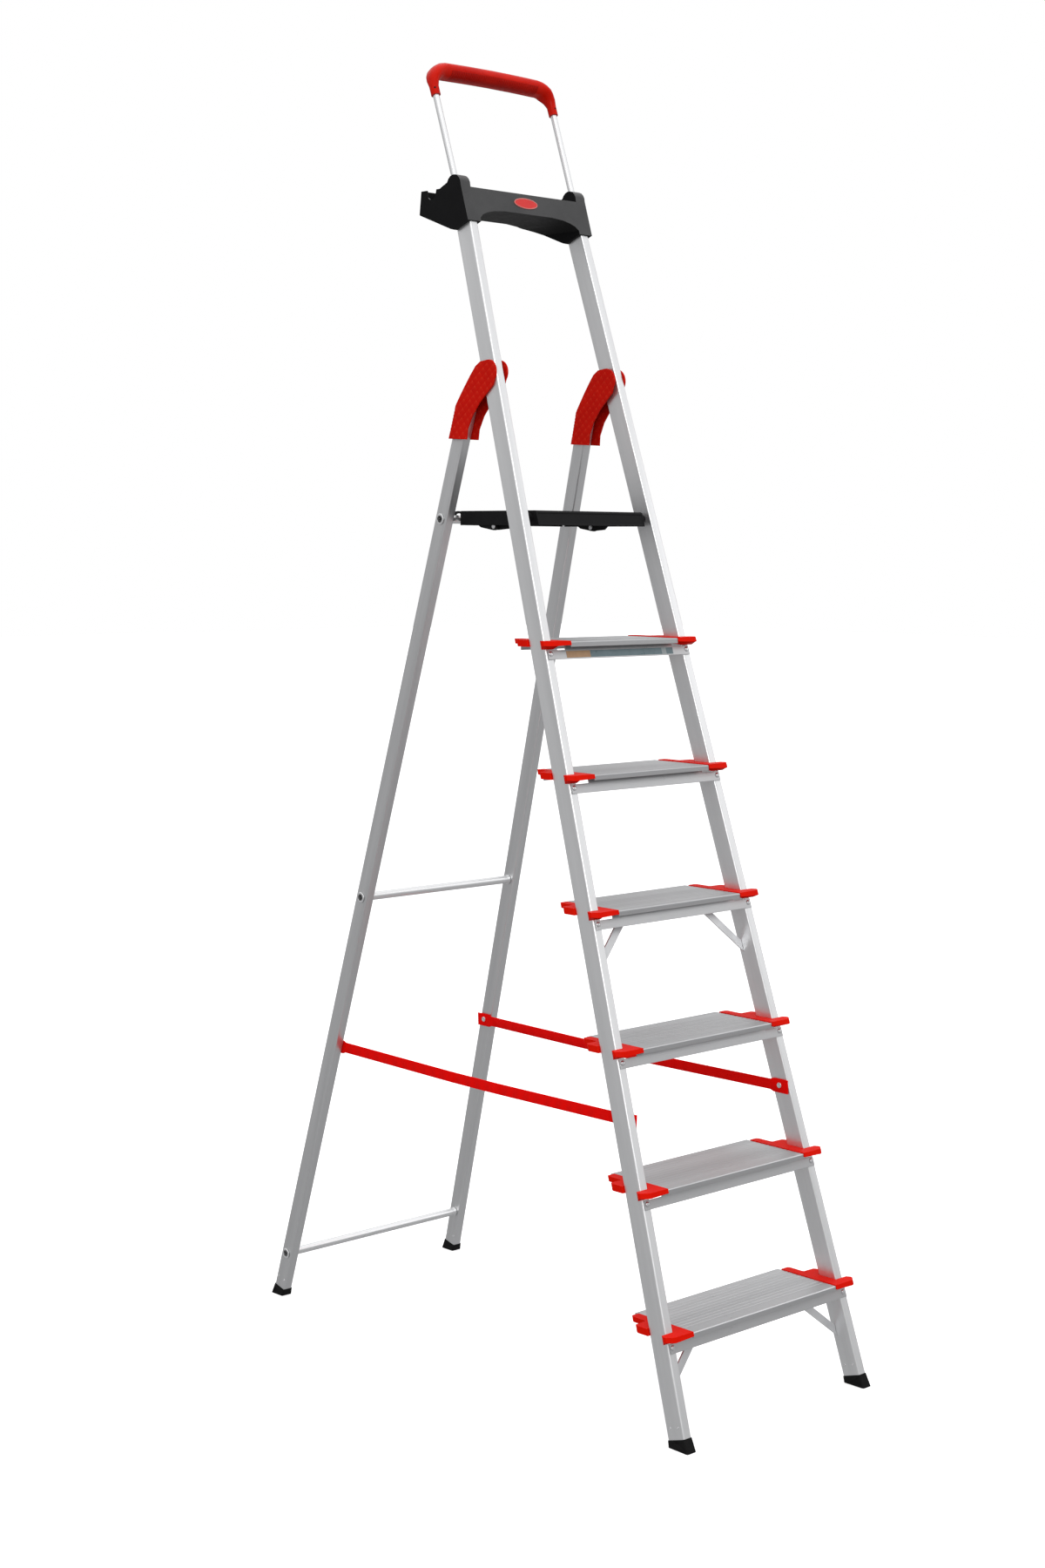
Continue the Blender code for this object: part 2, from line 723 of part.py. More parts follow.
def arm_outline():
    """Arm in its own line from the rivet to the top cross tube, ending in a hook over the tube."""
    tube = leg_centre(tube_heights()["top"])
    pivot = arm_pivot()
    reach = math.hypot(tube.y - pivot.y, tube.z - pivot.z)
    points = []
    for degrees in range(90, 271, 20):
        angle = math.radians(degrees)
        points.append((ARM_EYE * math.cos(angle), ARM_EYE * math.sin(angle)))
    points += [
        (0.035, -0.0065),
        (0.053, 0.0010),
        (0.064, 0.0118),
        (reach, 0.0118),
        (reach + 0.0065, 0.0098),
        (reach + 0.0100, 0.0060),
        (reach + 0.0110, 0.0000),
        (reach + 0.0095, -0.0060),
        (reach + 0.0135, -0.0080),
        (reach + 0.0150, 0.0000),
        (reach + 0.0135, 0.0085),
        (reach + 0.0080, 0.0140),
        (reach, 0.0158),
        (0.062, 0.0158),
        (0.045, 0.0100),
    ]
    slope = math.atan2(tube.z - pivot.z, tube.y - pivot.y)
    cosine, sine = math.cos(slope), math.sin(slope)
    return [(pivot.y + s * cosine - t * sine, pivot.z + s * sine + t * cosine) for s, t in points]


def add_arm(side, word, finish):
    pivot = arm_pivot()
    inner, outer = ARM_INNER_X, ARM_INNER_X + ARM_THICKNESS
    arm = prism(f"platform_arm_{word}", arm_outline(), side * inner, side * outer, finish, pivot)
    start = pivot + Vector((side * (inner - 0.01), 0, 0))
    end = pivot + Vector((side * (outer + 0.01), 0, 0))
    cut(arm, rods(f"arm_hole_{word}", [(start, end, ARM_RIVET_RADIUS + PIN_CLEARANCE)], pivot))
    tail = inner - 0.0005 - LUG_THICKNESS - GAP
    profile = [
        (tail - 0.0020, 0.0044),
        (tail, 0.0044),
        (tail, ARM_RIVET_RADIUS),
        (outer + GAP, ARM_RIVET_RADIUS),
        (outer + GAP, 0.0048),
        (outer + 0.0012, 0.0046),
        (outer + 0.0020, 0.0025),
    ]
    smooth(revolve(f"arm_rivet_{word}", profile, pivot, Vector((side, 0, 0)), RIVET_STEEL, platform_pivot()))


def tray_front(z):
    """Y of the tray's front face, parallel to the stiles."""
    return face_y(z) - TRAY_FRONT_GAP / COS_F


def handle_axis():
    """Point on the hand rail's plane at the tray, in the plane x = 0, and its direction."""
    point = Vector((0, face_y(TRAY_Z) + 0.0473, TRAY_Z + 0.0906))
    return point, Vector((0, math.sin(HANDLE_LEAN), math.cos(HANDLE_LEAN)))


def tray_outline():
    """Side view of the tray with its round ear, finger notch and stile shroud."""
    y, z = face_y(TRAY_Z), TRAY_Z
    ear_z = z + 0.0655
    ear_y = tray_front(ear_z) + EAR_RADIUS
    points = [(tray_front(z), z), (tray_front(ear_z), ear_z)]
    for degrees in range(160, 15, -20):
        angle = math.radians(degrees)
        points.append((ear_y + EAR_RADIUS * math.cos(angle), ear_z + EAR_RADIUS * math.sin(angle)))
    rear = y + TRAY_REAR
    points += [
        (y + 0.076, z + TRAY_RIM),
        (y + 0.0853, z + TRAY_RIM),
        (y + 0.0885, z + 0.0500),
        (y + 0.0940, z + 0.0460),
        (y + 0.1035, z + 0.0460),
        (y + 0.1090, z + 0.0500),
        (y + 0.1123, z + TRAY_RIM),
        (rear - 0.002, z + TRAY_RIM),
        (rear + 0.0027, z + 0.0210),
        (rear + 0.0015, z + 0.0195),
        (y + 0.0440, z - 0.0130),
        (y + 0.0350, z - 0.0150),
    ]
    return points


def box_outline(y0, y1, z0, z1):
    return [(y0, z0), (y1, z0), (y1, z1), (y0, z1)]


def add_tray(finish):
    y, z = face_y(TRAY_Z), TRAY_Z
    top = z + 0.2
    length = TRAY_HALF_LENGTH
    tray = prism("tool_tray", tray_outline(), -length, length, finish)
    floor = z + TRAY_FLOOR
    rear_low = y + TRAY_REAR + 0.0022 - TRAY_WALL
    rear_high = y + TRAY_REAR - 0.002 - TRAY_WALL
    rim = z + TRAY_RIM
    slope = (rear_high - rear_low) / (rim - floor)
    rear_top = rear_high + slope * (top - rim)
    lip = TRAY_WALL / COS_F
    middle = [(tray_front(floor) + lip, floor), (rear_low, floor), (rear_top, top), (tray_front(top) + lip, top)]
    cut(tray, prism("tray_hollow", middle, -SOCKET_BLOCK_INNER, SOCKET_BLOCK_INNER, None))
    ends = [(y + 0.072, floor + 0.0003), (rear_low - 0.0003, floor + 0.0003), (rear_top - 0.0003, top), (y + 0.072, top)]
    cut(tray, prism("tray_hollow_ends", ends, TRAY_WALL - length, length - TRAY_WALL, None))
    between = box_outline(y - 0.03, y + 0.0755, rim, top)
    cut(tray, prism("tray_between_ears", between, -EAR_INNER, EAR_INNER, None))
    under = floor - TRAY_FLOOR_THICKNESS
    reach = -SOCKET_BLOCK_INNER + 0.0003
    arch = [(reach, z - 0.05), (reach, z + 0.0065), (reach + 0.0080, z + 0.0135), (reach + 0.0200, z + 0.0185)]
    arch += [(reach + 0.0380, z + 0.0225), (reach + 0.0660, under)]
    arch += [(-x, height) for x, height in reversed(arch)]
    rings = [[Vector((x, yy, height)) for x, height in arch] for yy in (y - 0.1, y + 0.3)]
    cut(tray, loft("tray_arch", rings, None))
    for side, word in SIDES:
        add_tray_sockets(tray, side, word)


def add_tray_sockets(tray, side, word):
    clear = FIT_CLEARANCE
    x0, x1, v0, v1 = stile_section()
    section = rounded(x0 - clear, x1 + clear, v0 - clear, v1 + clear, RAIL_CORNER)
    rings = []
    for w in (stile_top() - 0.12, stile_top() + clear):
        rings.append([front_point(side, dx, v, w) for dx, v in section])
    cut(tray, loft(f"stile_socket_{word}", rings, None))
    point, axis = handle_axis()
    start = point + Vector((side * HANDLE_HALF_WIDTH, 0, 0)) - axis * (handle_depth() + clear)
    cut(tray, rods(f"handle_socket_{word}", [(start, start + axis * 0.2, HANDLE_RADIUS + clear)], ORIGIN, 20))


def handle_depth():
    return 0.0455


def grip_base():
    """Centre of the grip's frame: where its collars start, in the plane x = 0."""
    point, axis = handle_axis()
    return point + axis * ((TRAY_Z + GRIP_ABOVE_TRAY - point.z) / axis.z)


def add_handle_tube(side, word, finish):
    point, axis = handle_axis()
    centre = point + Vector((side * HANDLE_HALF_WIDTH, 0, 0))
    bottom = -handle_depth()
    top = (grip_base() - point).length + GRIP_SOCKET - GAP
    bore = HANDLE_RADIUS - HANDLE_WALL
    profile = [(bottom, HANDLE_RADIUS), (top, HANDLE_RADIUS), (top, bore), (bottom, bore)]
    smooth(revolve(f"handle_tube_{word}", profile, centre, axis, finish, ORIGIN, 20, True))


def grip_path():
    """Stations of (x, rise, in-plane half size, cross half size) from one collar to the other."""
    side = HANDLE_HALF_WIDTH
    straight = GRIP_BAR_RISE - GRIP_ELBOW
    half = side - GRIP_ELBOW
    stations = [(side, 0.0, GRIP_COLLAR, GRIP_COLLAR), (side, straight * 0.9, GRIP_COLLAR, GRIP_COLLAR)]
    for i in range(1, 6):
        angle = math.pi / 2 * i / 6
        share = i / 6
        x = half + GRIP_ELBOW * math.cos(angle)
        rise = straight + GRIP_ELBOW * math.sin(angle)
        tall = GRIP_COLLAR + (GRIP_HALF_HEIGHT - GRIP_COLLAR) * share
        deep = GRIP_COLLAR + (GRIP_HALF_DEPTH - GRIP_COLLAR) * min(1, 2 * share)
        stations.append((x, rise, tall, deep))
    for i in range(5):
        x = half * (1 - i / 4)
        crown = GRIP_CROWN * (1 - (x / half) ** 2)
        stations.append((x, GRIP_BAR_RISE + crown, GRIP_HALF_HEIGHT, GRIP_HALF_DEPTH))
    mirrored = [(-x, rise, tall, deep) for x, rise, tall, deep in reversed(stations[:-1])]
    return stations + mirrored


def add_grip(finish):
    base = grip_base()
    up = handle_axis()[1]
    across = Vector((1, 0, 0))
    out = across.cross(up)
    stations = grip_path()
    rings = []
    for i, (x, rise, tall, deep) in enumerate(stations):
        before = stations[max(i - 1, 0)]
        after = stations[min(i + 1, len(stations) - 1)]
        tangent = across * (after[0] - before[0]) + up * (after[1] - before[1])
        if i in (0, len(stations) - 1):
            tangent = up * (1 if i == 0 else -1)
        normal = tangent.normalized().cross(out)
        centre = base + across * x + up * rise
        ring = []
        square = min(max(rise / GRIP_BAR_RISE - 0.3, 0) / 0.3, 1)
        for j in range(20):
            angle = math.pi * j / 10
            c, s = math.cos(angle), math.sin(angle)
            if s < 0:
                c = math.copysign(abs(c) ** (1 - GRIP_SQUARE_BACK * square), c)
                s = -(abs(s) ** (1 - GRIP_SQUARE_BACK * square))
            ring.append(centre + normal * (tall * c) + out * (deep * s))
        rings.append(ring)
    grip = loft("hand_grip", rings, finish)
    smooth(grip)
    sockets = []
    for side in (-1, 1):
        start = base + across * (side * HANDLE_HALF_WIDTH)
        sockets.append((start - up * 0.02, start + up * GRIP_SOCKET, HANDLE_RADIUS + FIT_CLEARANCE))
    cut(grip, rods("grip_sockets", sockets, ORIGIN, 20))


def add_strap(side, word, finish):
    """Strap along the side, fixed to the insides of the stile and of the rear leg."""
    z = STRAP_HEIGHT_ABOVE_FLOOR
    start = face_y(z) + STILE_DEPTH / COS_F / 2 - STRAP_TAB_LENGTH / 2
    end = leg_centre(z).y + STRAP_TAB_LENGTH / 2
    run = end - start
    tab = STRAP_TAB_LENGTH / run
    shares = [0, tab * 0.9, tab * 1.1] + [tab * 1.1 + (1 - 2.2 * tab) * i / 12 for i in range(1, 12)]
    shares += [1 - tab * 1.1, 1 - tab * 0.9, 1]
    front_inset = STILE_WIDTH + STRAP_GAP
    rear_inset = LEG_INSET + LEG_WIDTH + STRAP_GAP
    rings = []
    for share in shares:
        on_tab = share <= tab or share >= 1 - tab
        tall = STRAP_TAB_HALF_HEIGHT if on_tab else STRAP_HALF_HEIGHT
        blend = min(max((share - tab) / (1 - 2 * tab), 0), 1)
        inset = front_inset + (rear_inset - front_inset) * blend
        middle = z - STRAP_SAG * math.sin(math.pi * blend)
        ring = []
        for depth, height in ((0, tall), (STRAP_THICKNESS, tall), (STRAP_THICKNESS, -tall), (0, -tall)):
            level = middle + height
            ring.append(Vector((side * (half_width(level) - inset - depth), start + share * run, level)))
        rings.append(ring)
    loft(f"strap_{word}", rings, finish)


for item in list(bpy.data.objects):
    bpy.data.objects.remove(item, do_unlink=True)

SIDES = ((-1, "left"), (1, "right"))
ALUMINIUM = material("aluminium", (0.66, 0.67, 0.68), 0.38, 1.0)
BRIGHT = material("tube_aluminium", (0.74, 0.75, 0.76), 0.30, 1.0)
RIVET_STEEL = material("rivet_steel", (0.60, 0.60, 0.61), 0.30, 1.0)
RED = material("red_plastic", (0.62, 0.018, 0.006), 0.42, 0.0)
CAP_RED = material("orange_red_plastic", (0.80, 0.032, 0.006), 0.42, 0.0)
STRAP_RED = material("red_webbing", (0.62, 0.010, 0.010), 0.70, 0.0)
BLACK = material("black_plastic", (0.020, 0.020, 0.021), 0.48, 0.0)
RUBBER = material("black_rubber", (0.014, 0.014, 0.014), 0.75, 0.0)

for SIDE, WORD in SIDES:
    add_stile(SIDE, WORD, ALUMINIUM)
    add_leg(SIDE, WORD, ALUMINIUM)
    add_bracket(SIDE, WORD, RED)
    add_hinge_pin(SIDE, WORD, RIVET_STEEL)
    add_arm(SIDE, WORD, BLACK)
    add_handle_tube(SIDE, WORD, BRIGHT)
    add_strap(SIDE, WORD, STRAP_RED)
    for STEP in range(STEP_COUNT):
        add_cap(SIDE, WORD, STEP, CAP_RED)
        add_tread_rivet(SIDE, WORD, STEP, RIVET_STEEL)
    for STEP, DROP in BRACED_TREADS.items():
        add_brace(SIDE, WORD, STEP, DROP, ALUMINIUM)
for STEP in range(STEP_COUNT):
    add_tread(STEP, ALUMINIUM)
for LEVEL, HEIGHT in tube_heights().items():
    add_cross_tube(LEVEL, HEIGHT, BRIGHT)
add_platform(BLACK)
add_tray(BLACK)
add_grip(RED)
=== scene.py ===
# %% [markdown]
# # Platform step ladder
# A tall folding step ladder of extruded aluminium with red and black moulded plastic: six treads, a
# black standing platform, a tool tray and a hoop to hold at the top. The solids come in as a fixed
# frame. This lesson gives them their finish, rounds the moulded pieces, and adds the small parts.

# %% Load the frame
import json
import math

import bmesh
import bpy
from mathutils import Matrix, Vector


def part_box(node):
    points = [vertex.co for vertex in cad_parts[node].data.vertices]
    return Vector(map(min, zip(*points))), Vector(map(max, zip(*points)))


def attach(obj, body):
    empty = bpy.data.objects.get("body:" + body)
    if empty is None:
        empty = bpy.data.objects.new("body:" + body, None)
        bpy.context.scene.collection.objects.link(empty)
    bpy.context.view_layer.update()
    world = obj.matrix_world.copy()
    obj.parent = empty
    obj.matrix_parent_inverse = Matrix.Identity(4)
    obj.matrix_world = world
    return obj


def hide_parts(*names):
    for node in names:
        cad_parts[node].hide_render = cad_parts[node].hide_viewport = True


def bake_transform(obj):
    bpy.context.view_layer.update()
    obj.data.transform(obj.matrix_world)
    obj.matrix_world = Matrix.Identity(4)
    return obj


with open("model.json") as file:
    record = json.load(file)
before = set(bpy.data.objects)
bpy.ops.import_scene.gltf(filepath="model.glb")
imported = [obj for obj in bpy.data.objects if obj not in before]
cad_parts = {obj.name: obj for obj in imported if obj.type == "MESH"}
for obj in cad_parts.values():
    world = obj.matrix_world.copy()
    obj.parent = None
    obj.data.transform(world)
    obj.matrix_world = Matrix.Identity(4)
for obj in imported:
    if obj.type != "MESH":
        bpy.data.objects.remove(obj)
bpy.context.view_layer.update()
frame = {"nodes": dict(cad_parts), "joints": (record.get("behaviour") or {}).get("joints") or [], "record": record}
bodies = frame["record"]["behaviour"]["bodies"]
body_of_node = {node: body for body, nodes in bodies.items() for node in nodes}
print("frame:", len(frame["nodes"]), "nodes on", sorted(set(body_of_node.values())))

# %% [markdown]
# ## Camera
# The ladder is seen from its climbing side, well to its left, from just under two thirds of its height.
# It looks a few degrees down. The lens is a little long, so that the far rails aren't much smaller
# than the near ones. A small upward shift of the lens sets the ladder in the frame, because tilting
# the camera further would make the rails lean together.

# %% Camera
CAMERA_PLACE = Vector((-3.0596, -3.1822, 1.5257))
azimuth, drop, roll = math.radians(-43.0), math.radians(6.145), math.radians(0.3685)
back = Vector((math.sin(azimuth) * math.cos(drop), -math.cos(azimuth) * math.cos(drop), math.sin(drop)))
level_right = Vector((math.cos(azimuth), math.sin(azimuth), 0))
level_up = back.cross(level_right)
camera_right = level_right * math.cos(roll) + level_up * math.sin(roll)
camera_up = level_up * math.cos(roll) - level_right * math.sin(roll)
camera_data = bpy.data.cameras.new("camera")
camera_data.lens = 53.89
camera_data.shift_y = 0.0087
camera = bpy.data.objects.new("camera", camera_data)
bpy.context.scene.collection.objects.link(camera)
turn = Matrix((camera_right, camera_up, back)).transposed().to_4x4()
camera.matrix_world = Matrix.Translation(CAMERA_PLACE) @ turn
bpy.context.scene.camera = camera
print("camera at", [round(c, 3) for c in camera.location])

# %% [markdown]
# ## Sizes used again and again
# The rails lean and splay, so most added parts are placed on a slanted plane. Three short functions
# say where that plane is at any height. The hinge's place is read from the frame's own joint.

# %% Places on the ladder
joints = {joint["name"]: joint for joint in frame["joints"]}
hinge = Vector(joints["rear_fold"]["pos_m"])
FRONT_LEAN = math.radians(17.5)
REAR_LEAN = math.radians(15.0)
SPLAY = math.radians(2.5)
STILE_DEPTH, STILE_WIDTH = 0.039, 0.019
BASE_HALF_WIDTH = 0.2437
LEG_WIDTH, LEG_INSET, LEG_BEHIND_HINGE = 0.0205, 0.003, 0.050


def half_width(z):
    """From the middle of the ladder to the stile's outer side."""
    return BASE_HALF_WIDTH - z * math.tan(SPLAY)


def face_y(z):
    """The plane of the stiles' front faces."""
    return hinge.y - STILE_DEPTH / 2 / math.cos(FRONT_LEAN) + (z - hinge.z) * math.tan(FRONT_LEAN)


def leg_y(z):
    """The middle of the rear legs."""
    return hinge.y + LEG_BEHIND_HINGE / math.cos(REAR_LEAN) - (z - hinge.z) * math.tan(REAR_LEAN)


tread_tops = [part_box(f"tread_{number}")[1][2] for number in range(1, 7)]
print("tread tops:", [round(z, 3) for z in tread_tops])

# %% [markdown]
# ## Floor and light
# A studio sweep is one pale sheet. Metal has no colour of its own to show: it mirrors the room, so
# the room does the shading here. It is bright overhead, dimmer at the horizon and dimmest below,
# which makes the rails pale at the top and grey towards the floor. One big soft lamp stands in front
# and to the left, a weaker one on the right fills the far sides, and a wide one hangs overhead. The
# floor and the room show white to the camera, but the metal mirrors a greyer version of both: a
# Light Path node chooses between the two.

# %% Floor
bpy.ops.object.select_all(action="DESELECT")
bpy.ops.mesh.primitive_plane_add(size=60, location=(0, 0, -0.0005))
floor = bpy.context.object
floor.name = "studio_floor"
floor_material = bpy.data.materials.new("studio_floor")
floor_material.use_nodes = True
floor_nodes, floor_links = floor_material.node_tree.nodes, floor_material.node_tree.links
paint = floor_nodes["Principled BSDF"]
paint.inputs["Base Color"].default_value = (0.93, 0.93, 0.93, 1)
paint.inputs["Roughness"].default_value = 0.9
paint.inputs["Specular IOR Level"].default_value = 0.1
paint.inputs["Emission Color"].default_value = (1, 1, 1, 1)
paint.inputs["Emission Strength"].default_value = 0.42
mirrored = floor_nodes.new("ShaderNodeEmission")
mirrored.inputs["Color"].default_value = (0.40, 0.40, 0.405, 1)
direct = floor_nodes.new("ShaderNodeLightPath")
floor_mix = floor_nodes.new("ShaderNodeMixShader")
floor_links.new(direct.outputs["Is Camera Ray"], floor_mix.inputs[0])
floor_links.new(mirrored.outputs[0], floor_mix.inputs[1])
floor_links.new(paint.outputs[0], floor_mix.inputs[2])
floor_links.new(floor_mix.outputs[0], floor_nodes["Material Output"].inputs["Surface"])
floor.data.materials.append(floor_material)
print("floor laid")

# %% The room
world = bpy.data.worlds.new("studio")
bpy.context.scene.world = world
world.use_nodes = True
sky = world.node_tree.nodes
sky.clear()
sky_links = world.node_tree.links
direction = sky.new("ShaderNodeTexCoord")
parts = sky.new("ShaderNodeSeparateXYZ")
ramp = sky.new("ShaderNodeValToRGB")
room = sky.new("ShaderNodeBackground")
paper = sky.new("ShaderNodeBackground")
seen = sky.new("ShaderNodeLightPath")
choose = sky.new("ShaderNodeMixShader")
out = sky.new("ShaderNodeOutputWorld")
shift = sky.new("ShaderNodeMapRange")
shift.inputs["From Min"].default_value = -1
sky_links.new(direction.outputs["Generated"], parts.inputs[0])
sky_links.new(parts.outputs["Z"], shift.inputs["Value"])
sky_links.new(shift.outputs[0], ramp.inputs[0])
ramp.color_ramp.elements[0].position = 0.40
ramp.color_ramp.elements[0].color = (0.30, 0.30, 0.305, 1)
ramp.color_ramp.elements[1].position = 1.0
ramp.color_ramp.elements[1].color = (1.0, 1.0, 1.0, 1)
for position, grey in ((0.50, 0.36), (0.55, 0.38), (0.62, 0.52), (0.67, 0.60), (0.78, 0.88)):
    stop = ramp.color_ramp.elements.new(position)
    stop.color = (grey, grey, grey * 1.01, 1)
sky_links.new(ramp.outputs[0], room.inputs["Color"])
room.inputs["Strength"].default_value = 1.15
paper.inputs["Color"].default_value = (1, 1, 1, 1)
sky_links.new(seen.outputs["Is Camera Ray"], choose.inputs[0])
sky_links.new(room.outputs[0], choose.inputs[1])
sky_links.new(paper.outputs[0], choose.inputs[2])
sky_links.new(choose.outputs[0], out.inputs[0])
bpy.context.scene.view_settings.view_transform = "Standard"
print("room lit")

# %% Lamps
def soft_lamp(name, place, target, size, power):
    lamp_data = bpy.data.lights.new(name, "AREA")
    lamp_data.shape = "RECTANGLE"
    lamp_data.size, lamp_data.size_y = size
    lamp_data.energy = power
    lamp = bpy.data.objects.new(name, lamp_data)
    bpy.context.scene.collection.objects.link(lamp)
    lamp.location = place
    lamp.rotation_euler = (Vector(target) - Vector(place)).to_track_quat("-Z", "Y").to_euler()
    print(name, "at", place)


soft_lamp("key_left", (-3.1, -3.9, 3.4), (0, 0, 1.2), (3.0, 3.0), 82)
soft_lamp("fill_right", (4.0, -2.6, 2.4), (0, 0, 1.0), (3.0, 3.0), 15)
soft_lamp("overhead", (0, 0.3, 5.2), (0, 0, 0), (4.0, 4.0), 34)

# %% [markdown]
# ## Three shared effects
# Every finish on the ladder is built from three effects, each a node group: the long die lines of an
# extrusion, the fine skin of a moulding, and the scuffs and dust that a used ladder collects. Each
# group gives out only masks and heights. The shader stays in the material.


# %% A helper for node groups
def node_group(name, inputs, outputs):
    """Empty group with named sockets: inputs hold (kind, default), outputs hold a kind."""
    tree = bpy.data.node_groups.new(name, "ShaderNodeTree")
    for label, (kind, value) in inputs.items():
        socket = tree.interface.new_socket(label, in_out="INPUT", socket_type=kind)
        if value is not None:
            socket.default_value = value
    for label in outputs:
        tree.interface.new_socket(label, in_out="OUTPUT", socket_type="NodeSocketFloat")
    return tree, tree.nodes.new("NodeGroupInput"), tree.nodes.new("NodeGroupOutput")


def maths(tree, operation, first, second=None, clamp=False):
    """One Math node on links or plain numbers, giving back its result socket."""
    node = tree.nodes.new("ShaderNodeMath")
    node.operation = operation
    node.use_clamp = clamp
    for socket, value in zip(node.inputs, (first, second)):
        if isinstance(value, (int, float)):
            socket.default_value = value
        elif value is not None:
            tree.links.new(value, socket)
    return node.outputs[0]


def noise(tree, vector, scale, detail=3.0, roughness=0.5):
    node = tree.nodes.new("ShaderNodeTexNoise")
    tree.links.new(vector, node.inputs["Vector"])
    if isinstance(scale, (int, float)):
        node.inputs["Scale"].default_value = scale
    else:
        tree.links.new(scale, node.inputs["Scale"])
    node.inputs["Detail"].default_value = detail
    node.inputs["Roughness"].default_value = roughness
    return node.outputs["Fac"]


# %% [markdown]
# **Die lines.** A press pushes hot aluminium through a steel die, and every nick in the die draws a
# line down the whole length. Noise stretched hard along the rail gives those lines: squeezing the
# coordinates along one axis is what stretches a texture.

# %% Die lines group
die_lines, group_in, group_out = node_group(
    "die_lines",
    {"Vector": ("NodeSocketVector", None), "Fineness": ("NodeSocketFloat", 900.0)},
    ("Lines", "Clouds"),
)
WIDE_SHARE, CLOUD_SHARE = 0.16, 0.02
place, fineness = group_in.outputs["Vector"], group_in.outputs["Fineness"]
fine = noise(die_lines, place, fineness, 2.0, 0.6)
wide = noise(die_lines, place, maths(die_lines, "MULTIPLY", fineness, WIDE_SHARE), 2.0)
fine_part = maths(die_lines, "MULTIPLY", fine, 0.65)
wide_part = maths(die_lines, "MULTIPLY", wide, 0.35)
lines = maths(die_lines, "ADD", fine_part, wide_part)
clouds = noise(die_lines, place, maths(die_lines, "MULTIPLY", fineness, CLOUD_SHARE), 4.0, 0.65)
die_lines.links.new(lines, group_out.inputs["Lines"])
die_lines.links.new(clouds, group_out.inputs["Clouds"])
print("group:", die_lines.name)

# %% [markdown]
# **Moulded skin.** A mould is spark-eroded to a fine grain, so plastic has tiny pits and a slow
# unevenness where it cooled. One small noise makes the pits and one large noise the mottling.

# %% Moulded skin group
moulded_skin, group_in, group_out = node_group(
    "moulded_skin",
    {
        "Vector": ("NodeSocketVector", None),
        "Grain": ("NodeSocketFloat", 1400.0),
        "Mottle Size": ("NodeSocketFloat", 30.0),
    },
    ("Pits", "Mottle"),
)
place = group_in.outputs["Vector"]
pits = noise(moulded_skin, place, group_in.outputs["Grain"], 2.0)
mottle = noise(moulded_skin, place, group_in.outputs["Mottle Size"], 4.0, 0.6)
moulded_skin.links.new(pits, group_out.inputs["Pits"])
moulded_skin.links.new(mottle, group_out.inputs["Mottle"])
print("group:", moulded_skin.name)

# %% [markdown]
# **Scuffs.** Shoes and hands leave short dull scratches and a thin film of dust. High peaks of a
# broken-up noise give patches, and a second noise breaks each patch into specks.

# %% Scuffs group
scuffs, group_in, group_out = node_group(
    "scuffs",
    {
        "Vector": ("NodeSocketVector", None),
        "Size": ("NodeSocketFloat", 22.0),
        "Amount": ("NodeSocketFloat", 0.4),
    },
    ("Mask",),
)
CLEAN_LEVEL, WEAR_REACH, EDGE_HARDNESS, SPECK_SHARE = 0.86, 0.42, 9.0, 14.0
place, size = group_in.outputs["Vector"], group_in.outputs["Size"]
patch = noise(scuffs, place, size, 5.0, 0.7)
specks = noise(scuffs, place, maths(scuffs, "MULTIPLY", size, SPECK_SHARE), 3.0, 0.7)
broken = maths(scuffs, "ADD", maths(scuffs, "MULTIPLY", patch, 0.7), maths(scuffs, "MULTIPLY", specks, 0.35))
reach = maths(scuffs, "MULTIPLY", group_in.outputs["Amount"], WEAR_REACH)
above = maths(scuffs, "SUBTRACT", broken, maths(scuffs, "SUBTRACT", CLEAN_LEVEL, reach))
scuffs.links.new(maths(scuffs, "MULTIPLY", above, EDGE_HARDNESS, True), group_out.inputs["Mask"])
print("group:", scuffs.name)

# %% [markdown]
# ## Aluminium
# The rails are mill-finished: not polished, a soft grey mirror with lines along the length. The lines
# must follow each rail, so a Mapping node turns the coordinates by that rail's own lean before it
# squeezes them. The treads run across the ladder, so theirs are squeezed along X.


# %% Helpers for materials
def place_group(material, tree, vector, values):
    node = material.node_tree.nodes.new("ShaderNodeGroup")
    node.node_tree = tree
    material.node_tree.links.new(vector, node.inputs["Vector"])
    for label, value in values.items():
        node.inputs[label].default_value = value
    return node.outputs


def mapped(material, turn_x=0.0, turn_y=0.0, scale=(1, 1, 1)):
    """Object coordinates, turned and squeezed, and the same coordinates left plain."""
    nodes, links = material.node_tree.nodes, material.node_tree.links
    coordinates = nodes.new("ShaderNodeTexCoord")
    mapping = nodes.new("ShaderNodeMapping")
    mapping.vector_type = "TEXTURE"
    mapping.inputs["Rotation"].default_value = (turn_x, turn_y, 0)
    mapping.inputs["Scale"].default_value = [1 / s for s in scale]
    links.new(coordinates.outputs["Object"], mapping.inputs["Vector"])
    return mapping.outputs[0], coordinates.outputs["Object"]


def mix_colour(material, factor, first, second):
    node = material.node_tree.nodes.new("ShaderNodeMix")
    node.data_type = "RGBA"
    links = material.node_tree.links
    links.new(factor, node.inputs[0])
    for socket, value in ((node.inputs[6], first), (node.inputs[7], second)):
        if isinstance(value, tuple):
            socket.default_value = (*value, 1)
        else:
            links.new(value, socket)
    return node.outputs[2]


